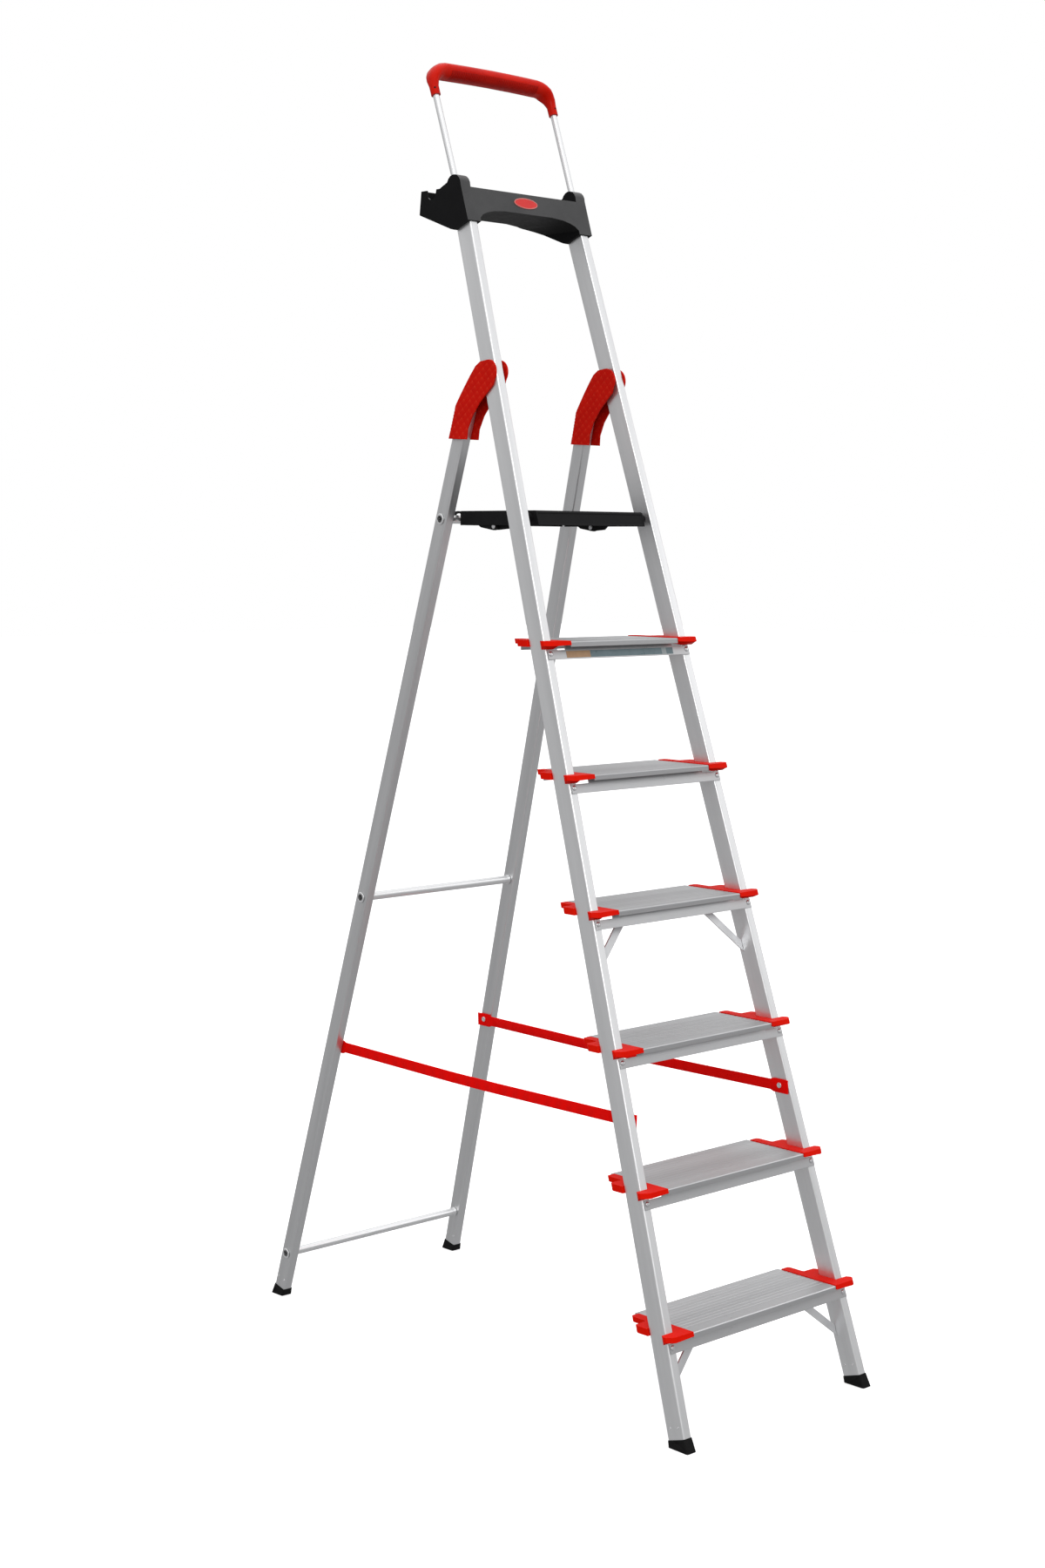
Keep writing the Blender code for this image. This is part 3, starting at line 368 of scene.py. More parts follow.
def spread(material, value, low, high):
    """Maps the middle of a noise, 0.3 to 0.7, to run from low to high."""
    node = material.node_tree.nodes.new("ShaderNodeMapRange")
    node.inputs["From Min"].default_value = 0.3
    node.inputs["From Max"].default_value = 0.7
    node.inputs["To Min"].default_value = low
    node.inputs["To Max"].default_value = high
    material.node_tree.links.new(value, node.inputs["Value"])
    return node.outputs[0]


def bump(material, height, strength, distance, below=None):
    node = material.node_tree.nodes.new("ShaderNodeBump")
    node.inputs["Strength"].default_value = strength
    node.inputs["Distance"].default_value = distance
    material.node_tree.links.new(height, node.inputs["Height"])
    if below is not None:
        material.node_tree.links.new(below, node.inputs["Normal"])
    return node.outputs[0]


# %% Building a metal
LINE_SQUEEZE, LINE_FINENESS = 0.012, 900.0


def aluminium(name, turn_x, turn_y, along, pale, dark, rough, scuffed):
    """Extruded aluminium with die lines along one axis of the turned coordinates."""
    made = bpy.data.materials.new(name)
    made.use_nodes = True
    shader = made.node_tree.nodes["Principled BSDF"]
    links = made.node_tree.links
    scale = [1.0, 1.0, 1.0]
    scale["xyz".index(along)] = LINE_SQUEEZE
    vector, plain = mapped(made, turn_x, turn_y, scale)
    grain = place_group(made, die_lines, vector, {"Fineness": LINE_FINENESS})
    wear = place_group(made, scuffs, plain, {"Size": 20.0, "Amount": scuffed})
    colour = mix_colour(made, spread(made, grain["Clouds"], 0.0, 1.0), dark, pale)
    colour = mix_colour(made, wear["Mask"], colour, tuple(0.72 * c for c in dark))
    links.new(colour, shader.inputs["Base Color"])
    shader.inputs["Metallic"].default_value = 0.92
    lined = spread(made, grain["Lines"], rough - 0.07, rough + 0.07)
    dulled = maths(made.node_tree, "MULTIPLY", wear["Mask"], 0.18)
    roughness = maths(made.node_tree, "ADD", lined, dulled)
    links.new(roughness, shader.inputs["Roughness"])
    links.new(bump(made, grain["Lines"], 0.22, 0.0003), shader.inputs["Normal"])
    print("material:", name)
    return made


# %% The ladder's metals
PALE, DARK = (0.89, 0.895, 0.90), (0.76, 0.765, 0.77)
stile_metal = aluminium(
    "stile_aluminium", turn_x=-FRONT_LEAN, turn_y=0, along="z",
    pale=PALE, dark=DARK, rough=0.36, scuffed=0.25,
)
leg_metal = aluminium(
    "leg_aluminium", turn_x=REAR_LEAN, turn_y=0, along="z",
    pale=(0.76, 0.765, 0.77), dark=(0.61, 0.615, 0.62), rough=0.36, scuffed=0.30,
)
tread_metal = aluminium(
    "tread_aluminium", turn_x=0, turn_y=0, along="x",
    pale=(0.60, 0.603, 0.61), dark=(0.46, 0.463, 0.47), rough=0.40, scuffed=0.50,
)
tube_metal = aluminium(
    "tube_aluminium", turn_x=0, turn_y=0, along="x",
    pale=(0.88, 0.885, 0.89), dark=(0.78, 0.785, 0.79), rough=0.30, scuffed=0.12,
)
handle_metal = aluminium(
    "handle_aluminium", turn_x=-math.radians(19), turn_y=0, along="z",
    pale=(0.92, 0.925, 0.93), dark=(0.84, 0.845, 0.85), rough=0.27, scuffed=0.10,
)
brace_metal = aluminium(
    "brace_aluminium", turn_x=0, turn_y=math.radians(-48), along="x",
    pale=(0.78, 0.785, 0.795), dark=(0.68, 0.685, 0.695), rough=0.40, scuffed=0.20,
)

# %% [markdown]
# The rivets are bright steel. A fine round brushing from the setting tool is too small to see, so a
# dense noise in the roughness is enough, with a dark trace of grime from the scuffs group.

# %% Rivet steel
rivet_metal = bpy.data.materials.new("rivet_steel")
rivet_metal.use_nodes = True
rivet_shader = rivet_metal.node_tree.nodes["Principled BSDF"]
rivet_vector, rivet_plain = mapped(rivet_metal)
rivet_skin = place_group(
    rivet_metal, moulded_skin, rivet_vector, {"Grain": 2600.0, "Mottle Size": 300.0}
)
rivet_wear = place_group(rivet_metal, scuffs, rivet_plain, {"Size": 160.0, "Amount": 0.45})
rivet_links = rivet_metal.node_tree.links
rivet_colour = mix_colour(rivet_metal, rivet_wear["Mask"], (0.78, 0.78, 0.79), (0.30, 0.30, 0.31))
rivet_links.new(rivet_colour, rivet_shader.inputs["Base Color"])
rivet_shader.inputs["Metallic"].default_value = 1.0
rivet_links.new(spread(rivet_metal, rivet_skin["Pits"], 0.20, 0.34), rivet_shader.inputs["Roughness"])
rivet_links.new(bump(rivet_metal, rivet_skin["Pits"], 0.10, 0.0002), rivet_shader.inputs["Normal"])
print("material: rivet_steel")

# %% [markdown]
# ## Plastics
# All the mouldings share one recipe with different numbers: a colour that wavers slightly, a satin
# gloss broken by the skin's pits, and pale scuffs. The black ones are more mottled, and their scuffs
# are grey. The tray takes three of them as painted light and shade: its front and top are a lighter,
# glossier black for the lit faces, its sides a darker black as painted shade, and its hollow a near
# black as painted shadow. The feet are soft rubber, nearly without gloss.


# %% Building a moulded plastic
def plastic(
    name, colour, shade, scuff_colour, rough, grain, pits, mottle, scuffed, shine=0.2, coat=0.0
):
    """Moulded plastic that wavers from shade to colour, with pits in its skin and scuffs on it."""
    made = bpy.data.materials.new(name)
    made.use_nodes = True
    shader = made.node_tree.nodes["Principled BSDF"]
    links = made.node_tree.links
    vector, plain = mapped(made)
    skin = place_group(made, moulded_skin, vector, {"Grain": grain, "Mottle Size": mottle})
    wear = place_group(made, scuffs, plain, {"Size": 28.0, "Amount": scuffed})
    base = mix_colour(made, spread(made, skin["Mottle"], 0.0, 1.0), shade, colour)
    links.new(mix_colour(made, wear["Mask"], base, scuff_colour), shader.inputs["Base Color"])
    uneven = spread(made, skin["Mottle"], rough - 0.06, rough + 0.06)
    dulled = maths(made.node_tree, "MULTIPLY", wear["Mask"], 0.15)
    roughness = maths(made.node_tree, "ADD", uneven, dulled)
    links.new(roughness, shader.inputs["Roughness"])
    links.new(bump(made, skin["Pits"], pits, 0.0003), shader.inputs["Normal"])
    shader.inputs["Specular IOR Level"].default_value = shine
    shader.inputs["Coat Weight"].default_value = coat
    shader.inputs["Coat Roughness"].default_value = 0.2
    print("material:", name)
    return made


# %% The ladder's plastics
cap_plastic = plastic(
    "cap_plastic", (0.74, 0.008, 0.0008), (0.66, 0.005, 0.0006), (0.74, 0.02, 0.008),
    rough=0.45, grain=1500.0, pits=0.10, mottle=26.0, scuffed=0.10, shine=0.03,
)
grip_plastic = plastic(
    "grip_plastic", (0.60, 0.009, 0.001), (0.50, 0.005, 0.0008), (0.62, 0.02, 0.01),
    rough=0.30, grain=1700.0, pits=0.05, mottle=30.0, scuffed=0.08, shine=0.09,
)
# Painted light: a lighter, glossier black for the tray's front and top, standing for the faces the lamps light.
tray_lit_plastic = plastic(
    "tray_lit_plastic", (0.030, 0.030, 0.031), (0.007, 0.007, 0.008), (0.07, 0.07, 0.07),
    rough=0.38, grain=1500.0, pits=0.25, mottle=13.0, scuffed=0.40, shine=0.62,
)
platform_plastic = plastic(
    "platform_plastic", (0.008, 0.008, 0.0085), (0.004, 0.004, 0.0045), (0.028, 0.028, 0.028),
    rough=0.55, grain=900.0, pits=0.50, mottle=40.0, scuffed=0.35, shine=0.12,
)
# Painted shade: a darker, duller black for the tray's two sides, standing for the shade they lie in.
tray_shaded_side_plastic = plastic(
    "tray_shaded_side_plastic", (0.006, 0.006, 0.0065), (0.003, 0.003, 0.0033), (0.022, 0.022, 0.022),
    rough=0.55, grain=1100.0, pits=0.50, mottle=26.0, scuffed=0.45, shine=0.08,
)
arm_plastic = plastic(
    "arm_plastic", (0.010, 0.010, 0.011), (0.006, 0.006, 0.006), (0.04, 0.04, 0.04),
    rough=0.50, grain=1500.0, pits=0.25, mottle=40.0, scuffed=0.15, shine=0.14,
)
foot_rubber = plastic(
    "foot_rubber", (0.008, 0.008, 0.008), (0.004, 0.004, 0.004), (0.05, 0.048, 0.045),
    rough=0.70, grain=1100.0, pits=0.50, mottle=60.0, scuffed=0.45, shine=0.12,
)
# Painted shade: a near black for the tray's hollow and underside, and for the holes in the rivets and collar
# screws.
shadow_black = plastic(
    "painted_shade_black", (0.010, 0.010, 0.010), (0.005, 0.005, 0.005), (0.03, 0.03, 0.03),
    rough=0.60, grain=2500.0, pits=0.20, mottle=90.0, scuffed=0.10, shine=0.10,
)

# %% [markdown]
# The hinge brackets carry a faint moulded lattice of crossing diagonal lines. Two wave textures, one
# for each diagonal in the side view, are laid over the plastic's own pits as a second bump. Where
# they cross, the red is a little paler. Raising their sum to a power keeps only the crossings.

# %% Lattice on the bracket plastic
LATTICE_SCALE = 26.0
bracket_plastic = plastic(
    "bracket_plastic", (0.60, 0.006, 0.001), (0.52, 0.004, 0.0008), (0.62, 0.02, 0.01),
    rough=0.42, grain=1500.0, pits=0.10, mottle=30.0, scuffed=0.08, shine=0.05,
)
bracket_tree = bracket_plastic.node_tree
bracket_shader = bracket_tree.nodes["Principled BSDF"]
lattice = []
for angle in (-38, 52):
    vector, _ = mapped(bracket_plastic, math.radians(angle))
    wave = bracket_tree.nodes.new("ShaderNodeTexWave")
    wave.bands_direction = "Z"
    wave.wave_profile = "SAW"
    wave.inputs["Scale"].default_value = LATTICE_SCALE
    bracket_tree.links.new(vector, wave.inputs["Vector"])
    lattice.append(wave.outputs["Fac"])
crossed = maths(bracket_tree, "ADD", lattice[0], lattice[1])
skin_normal = bracket_shader.inputs["Normal"].links[0].from_socket
lattice_normal = bump(bracket_plastic, crossed, 0.35, 0.0005, skin_normal)
bracket_tree.links.new(lattice_normal, bracket_shader.inputs["Normal"])
plain_red = bracket_shader.inputs["Base Color"].links[0].from_socket
narrowed = maths(bracket_tree, "POWER", maths(bracket_tree, "MULTIPLY", crossed, 0.5), 6.0)
crossing = maths(bracket_tree, "MULTIPLY", narrowed, 0.8, True)
lattice_red = mix_colour(bracket_plastic, crossing, plain_red, (0.74, 0.05, 0.02))
bracket_tree.links.new(lattice_red, bracket_shader.inputs["Base Color"])
print("lattice laid on the bracket plastic")

# %% [markdown]
# ## Webbing
# The safety straps are woven polyester. Seen close, a weave is two sets of ridges crossing: fine
# ribs across the band and threads along it. Two wave textures make them, in the bump and a little in
# the colour, and a trace of sheen gives the cloth its soft edge.

# %% Webbing material
webbing = bpy.data.materials.new("red_webbing")
webbing.use_nodes = True
web_shader = webbing.node_tree.nodes["Principled BSDF"]
web_links = webbing.node_tree.links
threads = []
for axis, scale in (("Y", 150.0), ("Z", 210.0)):
    vector, plain = mapped(webbing)
    wave = webbing.node_tree.nodes.new("ShaderNodeTexWave")
    wave.bands_direction = axis
    wave.inputs["Scale"].default_value = scale
    wave.inputs["Distortion"].default_value = 0.6
    web_links.new(vector, wave.inputs["Vector"])
    threads.append(wave.outputs["Fac"])
weave = maths(webbing.node_tree, "MULTIPLY", threads[0], threads[1])
fuzz = place_group(webbing, moulded_skin, plain, {"Grain": 900.0, "Mottle Size": 24.0})
cloth = mix_colour(webbing, weave, (0.86, 0.002, 0.001), (1.0, 0.004, 0.002))
faded = maths(webbing.node_tree, "MULTIPLY", fuzz["Mottle"], 0.35)
web_links.new(mix_colour(webbing, faded, cloth, (0.80, 0.002, 0.001)), web_shader.inputs["Base Color"])
web_links.new(spread(webbing, fuzz["Pits"], 0.62, 0.82), web_shader.inputs["Roughness"])
web_links.new(bump(webbing, weave, 0.6, 0.0004), web_shader.inputs["Normal"])
web_shader.inputs["Specular IOR Level"].default_value = 0.03
web_shader.inputs["Sheen Weight"].default_value = 0.02
web_shader.inputs["Sheen Roughness"].default_value = 0.4
print("material: red_webbing")

# %% [markdown]
# ## Smooth metal, rounded plastic
# The frame's solids have knife edges. On a real moulding every edge is rounded, and on a rail the
# rounded corner carries a bright line of light. So each node gets a finished copy: its triangles are
# merged, flat areas are cleaned, and a Bevel rounds what is left. Weighted normals keep the flats
# flat, so that the light bends only at the corners.


# %% Selecting one piece and applying a modifier
def alone(piece):
    bpy.ops.object.select_all(action="DESELECT")
    piece.select_set(True)
    bpy.context.view_layer.objects.active = piece


def apply_modifier(piece, kind, **settings):
    modifier = piece.modifiers.new(kind.lower(), kind)
    for label, value in settings.items():
        setattr(modifier, label, value)
    alone(piece)
    bpy.ops.object.modifier_apply(modifier=modifier.name)


# %% Sunk panels
LOOKS_ALONG = 0.97


def sink_panels(piece, facings, least_area, border, depth):
    """Insets every large face that looks along one of the facings, and pushes it in by depth."""
    alone(piece)
    bpy.ops.object.mode_set(mode="EDIT")
    bpy.context.tool_settings.mesh_select_mode = (False, False, True)
    for facing in facings:
        work = bmesh.from_edit_mesh(piece.data)
        for element in work.verts[:] + work.edges[:]:
            element.select = False
        for face in work.faces:
            looks_along = face.normal.dot(Vector(facing).normalized()) > LOOKS_ALONG
            face.select = looks_along and face.calc_area() > least_area
        work.select_flush_mode()
        bmesh.update_edit_mesh(piece.data)
        bpy.ops.mesh.inset(thickness=border, depth=0)
        bpy.ops.mesh.inset(thickness=abs(depth) * 0.5, depth=depth)
    bpy.ops.object.mode_set(mode="OBJECT")


# %% Finished copy of a node
CLEANED_BELOW, BEVELLED_ABOVE = math.radians(0.6), math.radians(28)


def finished_copy(node, material, rounding=0.0, segments=2, smooth=35.0, ride=True, panels=None):
    """The node's mesh, merged, cleaned, rounded and painted, standing in for the node."""
    source = frame["nodes"][node]
    piece = bpy.data.objects.new(node + "_finished", source.data.copy())
    bpy.context.scene.collection.objects.link(piece)
    alone(piece)
    bpy.ops.object.mode_set(mode="EDIT")
    bpy.ops.mesh.select_all(action="SELECT")
    bpy.ops.mesh.remove_doubles(threshold=0.00001)
    bpy.ops.mesh.dissolve_limited(angle_limit=CLEANED_BELOW)
    bpy.ops.object.mode_set(mode="OBJECT")
    if panels:
        sink_panels(piece, **panels)
    if rounding:
        apply_modifier(
            piece, "BEVEL", width=rounding, segments=segments, limit_method="ANGLE",
            angle_limit=BEVELLED_ABOVE, use_clamp_overlap=True, miter_outer="MITER_ARC",
        )
    alone(piece)
    bpy.ops.object.shade_smooth_by_angle(angle=math.radians(smooth))
    apply_modifier(piece, "WEIGHTED_NORMAL", keep_sharp=True)
    piece.data.materials.clear()
    piece.data.materials.append(material)
    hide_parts(node)
    if ride:
        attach(piece, body_of_node[node])
    return piece


# %% Finishing the sides' nodes
pocket = {"facings": ((-1, 0, 0.04), (1, 0, 0.04)), "least_area": 0.0003, "border": 0.0034, "depth": -0.0014}
groove = {"facings": ((0, -1, 0), (0, 1, 0)), "least_area": 0.0008, "border": 0.0042, "depth": -0.0006}
for side in ("left", "right"):
    finished_copy(f"front_stile_{side}", stile_metal)
    finished_copy(f"rear_leg_{side}", leg_metal)
    finished_copy(f"handle_tube_{side}", handle_metal)
    finished_copy(f"hinge_pin_{side}", rivet_metal)
    finished_copy(f"arm_rivet_{side}", rivet_metal, 0.0003)
    finished_copy(f"platform_arm_{side}", arm_plastic, 0.0007)
    finished_copy(f"hinge_bracket_{side}", bracket_plastic, 0.0011, 3)
    finished_copy(f"front_foot_{side}", foot_rubber, 0.0006, panels=pocket)
    finished_copy(f"rear_foot_{side}", foot_rubber, 0.0006, panels=pocket)
    for number in (1, 4):
        finished_copy(f"brace_{number}_{side}", brace_metal, 0.0004, panels=groove)
    for number in range(1, 7):
        finished_copy(f"tread_cap_{number}_{side}", cap_plastic, 0.0011, 3)
        finished_copy(f"tread_rivet_{number}_{side}", rivet_metal)
print("sides finished")

# %% Finishing the treads and cross tubes
for number in range(1, 7):
    finished_copy(f"tread_{number}", tread_metal, 0.00025, 1)
for level_name in ("top", "middle", "low"):
    finished_copy(f"cross_tube_{level_name}", tube_metal, 0.0003, 2)
print("treads and cross tubes finished")

# %% [markdown]
# ** The tray's three blacks.** A mesh can carry several materials, and each face holds the number of
# its own. The faces are sorted by their normals, as painted light and shade: the two sides get the
# darker black of painted shade, and what looks down, back or out of the hollow behind the arch gets
# the near black of painted shadow. The front and top keep the lighter, glossier black of the lit faces.

# %% Tray
SIDEWAYS, STEEP, SHALLOW, BEHIND_FRONT = 0.75, 0.35, 0.30, 0.004
tray = finished_copy("tool_tray", tray_lit_plastic, 0.0012, 3)
tray.data.materials.append(tray_shaded_side_plastic)
tray.data.materials.append(shadow_black)
# Painted light and shade: each face gets the lit, the shaded or the shadow black by the way it faces.
for polygon in tray.data.polygons:
    normal, centre = polygon.normal, polygon.center
    in_hollow = normal.z < SHALLOW and centre.y - face_y(centre.z) > BEHIND_FRONT
    if abs(normal.x) > SIDEWAYS:
        polygon.material_index = 1
    elif normal.z < -STEEP or normal.y > STEEP or in_hollow:
        polygon.material_index = 2
print("tray:", len(tray.data.polygons), "faces")

# %% Platform and grip
facing = Vector((0, -math.cos(FRONT_LEAN), math.sin(FRONT_LEAN)))
fascia = {"facings": (facing,), "least_area": 0.003, "border": 0.0028, "depth": -0.0009}
finished_copy("platform", platform_plastic, 0.0006, 2, panels=fascia)
finished_copy("hand_grip", grip_plastic)
print("platform and grip finished")

# %% [markdown]
# ## Straps
# A strap joins the front frame to the rear frame on each side, so that the legs can't slide apart. It
# is cut across with bisect into many short stretches.

# %% Straps
CROSS_CUTS, HELD_LENGTH = 60, 0.045
STRAP_WIDTH, TAB_WIDTH, TAB_LENGTH = 0.020, 0.026, 0.038
for side in ("left", "right"):
    strap = finished_copy(f"strap_{side}", webbing, 0.0006, 2, ride=False)
    low, high = (Vector(corner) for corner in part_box(f"strap_{side}"))
    alone(strap)
    bpy.ops.object.mode_set(mode="EDIT")
    for i in range(1, CROSS_CUTS):
        bpy.ops.mesh.select_all(action="SELECT")
        y = low.y + (high.y - low.y) * i / CROSS_CUTS
        bpy.ops.mesh.bisect(plane_co=(0, y, 0), plane_no=(0, 1, 0))
    bpy.ops.object.mode_set(mode="OBJECT")
    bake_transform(strap)
    print(strap.name, len(strap.data.polygons), "faces")

# %% [markdown]
# ## Strap rivets
# Each strap end is held by one wide blind rivet. It starts as a cylinder: its rim is bevelled round,
# and its face is inset and pushed in where the mandrel broke off. The function that makes it takes
# a radius and a height, because smaller parts further down use it too.


# %% Helpers for small parts
def selected_faces(piece, test):
    """In edit mode, selects only the faces whose centre and normal pass the test."""
    work = bmesh.from_edit_mesh(piece.data)
    for element in work.verts[:] + work.edges[:]:
        element.select = False
    for face in work.faces:
        face.select = bool(test(face.calc_center_median(), face.normal))
    work.select_flush_mode()
    bmesh.update_edit_mesh(piece.data)


def settle(piece, material, body):
    """Puts the object's place into its mesh, then paints it and lets it ride."""
    alone(piece)
    bpy.ops.object.transform_apply(location=True, rotation=True, scale=True)
    bpy.ops.object.shade_smooth_by_angle(angle=math.radians(35))
    piece.data.materials.clear()
    piece.data.materials.append(material)
    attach(piece, body)
    return piece


def button(name, radius, height):
    """Round-edged button on the XY plane, with a small pit in its face."""
    bpy.ops.object.select_all(action="DESELECT")
    bpy.ops.mesh.primitive_cylinder_add(vertices=28, radius=radius, depth=height, location=(0, 0, height / 2))
    made = bpy.context.object
    made.name = name
    bpy.ops.object.transform_apply(location=True)
    bpy.ops.object.mode_set(mode="EDIT")
    bpy.context.tool_settings.mesh_select_mode = (False, False, True)
    selected_faces(made, lambda centre, normal: normal.z > 0.9)
    bpy.ops.mesh.bevel(offset=height * 0.45, segments=3, affect="EDGES")
    selected_faces(made, lambda centre, normal: normal.z > 0.99)
    bpy.ops.mesh.inset(thickness=radius * 0.28, depth=0)
    bpy.ops.mesh.inset(thickness=radius * 0.07, depth=-height * 0.35)
    bpy.ops.object.mode_set(mode="OBJECT")
    return made


def copy_of(master, name, place, facing):
    """Copy with its own mesh, standing at place with its face turned to facing."""
    piece = bpy.data.objects.new(name, master.data.copy())
    bpy.context.scene.collection.objects.link(piece)
    turn_to = Vector(facing).to_track_quat("Z", "Y").to_matrix().to_4x4()
    piece.matrix_world = Matrix.Translation(place) @ turn_to
    return piece


# %% Strap rivets
STRAP_RIVET_RADIUS, STRAP_RIVET_HEIGHT, ABOVE_MIDDLE = 0.0052, 0.0022, 0.002
STRAP_GAP, STRAP_THICKNESS = 0.0005, 0.0025
rivet_master = button("strap_rivet_master", STRAP_RIVET_RADIUS, STRAP_RIVET_HEIGHT)
for sign, side in ((-1, "left"), (1, "right")):
    low, high = (Vector(corner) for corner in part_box(f"strap_{side}"))
    z = (low.z + high.z) / 2 + ABOVE_MIDDLE
    inward = Vector((-sign, 0, 0))
    cloth_half_width = half_width(z) - STRAP_GAP - STRAP_THICKNESS
    front_place = Vector((sign * (cloth_half_width - STILE_WIDTH), low.y + TAB_LENGTH / 2, z))
    rear_place = Vector((sign * (cloth_half_width - LEG_INSET - LEG_WIDTH), high.y - TAB_LENGTH / 2, z))
    front = copy_of(rivet_master, f"strap_rivet_front_{side}", front_place, inward)
    rear = copy_of(rivet_master, f"strap_rivet_rear_{side}", rear_place, inward)
    settle(front, rivet_metal, "front_frame")
    settle(rear, rivet_metal, "rear_frame")
print("strap rivets set")

# %% [markdown]
# ## Pins above the feet
# Two small pins through each rail hold the foot's plug. They are the same button, made smaller, on
# both side faces of every rail, 19 mm apart across its depth.

# %% Foot pins
PIN_RADIUS, PIN_HEIGHT, PIN_SINK = 0.0021, 0.0006, 0.0001
PIN_ROW_Z, PIN_FROM_MIDDLE = 0.036, 0.0095
pin_master = button("foot_pin_master", PIN_RADIUS, PIN_HEIGHT)
stile_row = (
    "front_frame", FRONT_LEAN, STILE_WIDTH, half_width(PIN_ROW_Z),
    face_y(PIN_ROW_Z) + STILE_DEPTH / 2 / math.cos(FRONT_LEAN),
)
leg_row = (
    "rear_frame", -REAR_LEAN, LEG_WIDTH,
    half_width(PIN_ROW_Z - LEG_BEHIND_HINGE * math.sin(REAR_LEAN)) - LEG_INSET, leg_y(PIN_ROW_Z),
)
count = 0
for sign in (-1, 1):
    for body, lean, width, outer, middle_y in (stile_row, leg_row):
        for across in (-PIN_FROM_MIDDLE, PIN_FROM_MIDDLE):
            y, z = middle_y + across * math.cos(lean), PIN_ROW_Z - across * math.sin(lean)
            for face, x in ((1, outer), (-1, outer - width)):
                place = Vector((sign * (x - face * PIN_SINK), y, z))
                pin = copy_of(pin_master, f"foot_pin_{count}", place, (sign * face, 0, 0))
                settle(pin, rivet_metal, body)
                count += 1
print("foot pins:", count)
for master in (rivet_master, pin_master):
    bpy.data.objects.remove(master)

# %% [markdown]
# ## Grip ribs
# The hoop is smooth above and ribbed below, where the fingers close round it. One rib is a thin ring
# squashed to the bar's oval. It is cut a little below its middle with bisect, and the lower part is
# copied along the bar and joined into one piece. The ribs get a darker red than the top, as painted
# shade for the bar's underside.

# %% One rib
HANDLE_LEAN = math.radians(19.0)
TRAY_ABOVE_HINGE, FOOT_BEHIND_FACE, FOOT_ABOVE_TRAY, GRIP_ABOVE_TRAY = 0.278, 0.0473, 0.0906, 0.235
BAR_RISE, BAR_TALL, BAR_DEEP, BAR_HALF, CROWN = 0.053, 0.0145, 0.017, 0.117, 0.002
RIB_SINK, RIB_THICKNESS, CUT_BELOW_MIDDLE = 0.00015, 0.0155, 0.0055
handle_up = Vector((0, math.sin(HANDLE_LEAN), math.cos(HANDLE_LEAN)))
tray_z = hinge.z + TRAY_ABOVE_HINGE
handle_foot = Vector((0, face_y(tray_z) + FOOT_BEHIND_FACE, tray_z + FOOT_ABOVE_TRAY))
grip_base = handle_foot + handle_up * ((tray_z + GRIP_ABOVE_TRAY - handle_foot.z) / handle_up.z)
bpy.ops.object.select_all(action="DESELECT")
bpy.ops.mesh.primitive_torus_add(major_segments=36, minor_segments=8, major_radius=1, minor_radius=0.055)
rib = bpy.context.object
rib.name = "grip_rib_master"
rib.scale = (BAR_TALL - RIB_SINK, BAR_DEEP - RIB_SINK, RIB_THICKNESS)
bpy.ops.object.transform_apply(scale=True)
bpy.ops.object.mode_set(mode="EDIT")
bpy.ops.mesh.select_all(action="SELECT")
bpy.ops.mesh.bisect(plane_co=(-CUT_BELOW_MIDDLE, 0, 0), plane_no=(1, 0, 0), clear_outer=True, use_fill=True)
bpy.ops.object.mode_set(mode="OBJECT")
print("one rib:", len(rib.data.polygons), "faces")

# %% Grip ribs
RIB_COUNT, RIBBED_HALF = 52, 0.108
ribs = []
for i in range(RIB_COUNT):
    x = -RIBBED_HALF + 2 * RIBBED_HALF * i / (RIB_COUNT - 1)
    rise = BAR_RISE + CROWN * (1 - (x / BAR_HALF) ** 2)
    copy = bpy.data.objects.new(f"grip_rib_{i}", rib.data.copy())
    bpy.context.scene.collection.objects.link(copy)
    along = Vector((1, 0, 0))
    axes = Matrix((handle_up, along.cross(handle_up), along)).transposed().to_4x4()
    copy.matrix_world = Matrix.Translation(grip_base + handle_up * rise + Vector((x, 0, 0))) @ axes
    ribs.append(copy)
bpy.data.objects.remove(rib)
bpy.ops.object.select_all(action="DESELECT")
for copy in ribs:
    copy.select_set(True)
bpy.context.view_layer.objects.active = ribs[0]
bpy.ops.object.join()
grip_ribs = bpy.context.object
grip_ribs.name = "grip_ribs"
# Painted shade: the ribs' red is about half as bright as the grip's, for the shade under the bar.
rib_shaded_plastic = plastic(
    "grip_rib_shaded_plastic", (0.30, 0.003, 0.001), (0.24, 0.002, 0.001), (0.45, 0.03, 0.02),
    rough=0.45, grain=1700.0, pits=0.08, mottle=30.0, scuffed=0.10, shine=0.12,
)
settle(grip_ribs, rib_shaded_plastic, "front_frame")
print("grip ribs:", len(grip_ribs.data.polygons), "faces")

# %% [markdown]
# ## Badge
# The tray's front carries an oval badge. It is left plain here: a red enamel oval in a thin paler
# rim. A cylinder is squashed to the oval, its rim bevelled, and its face inset to part enamel from rim.

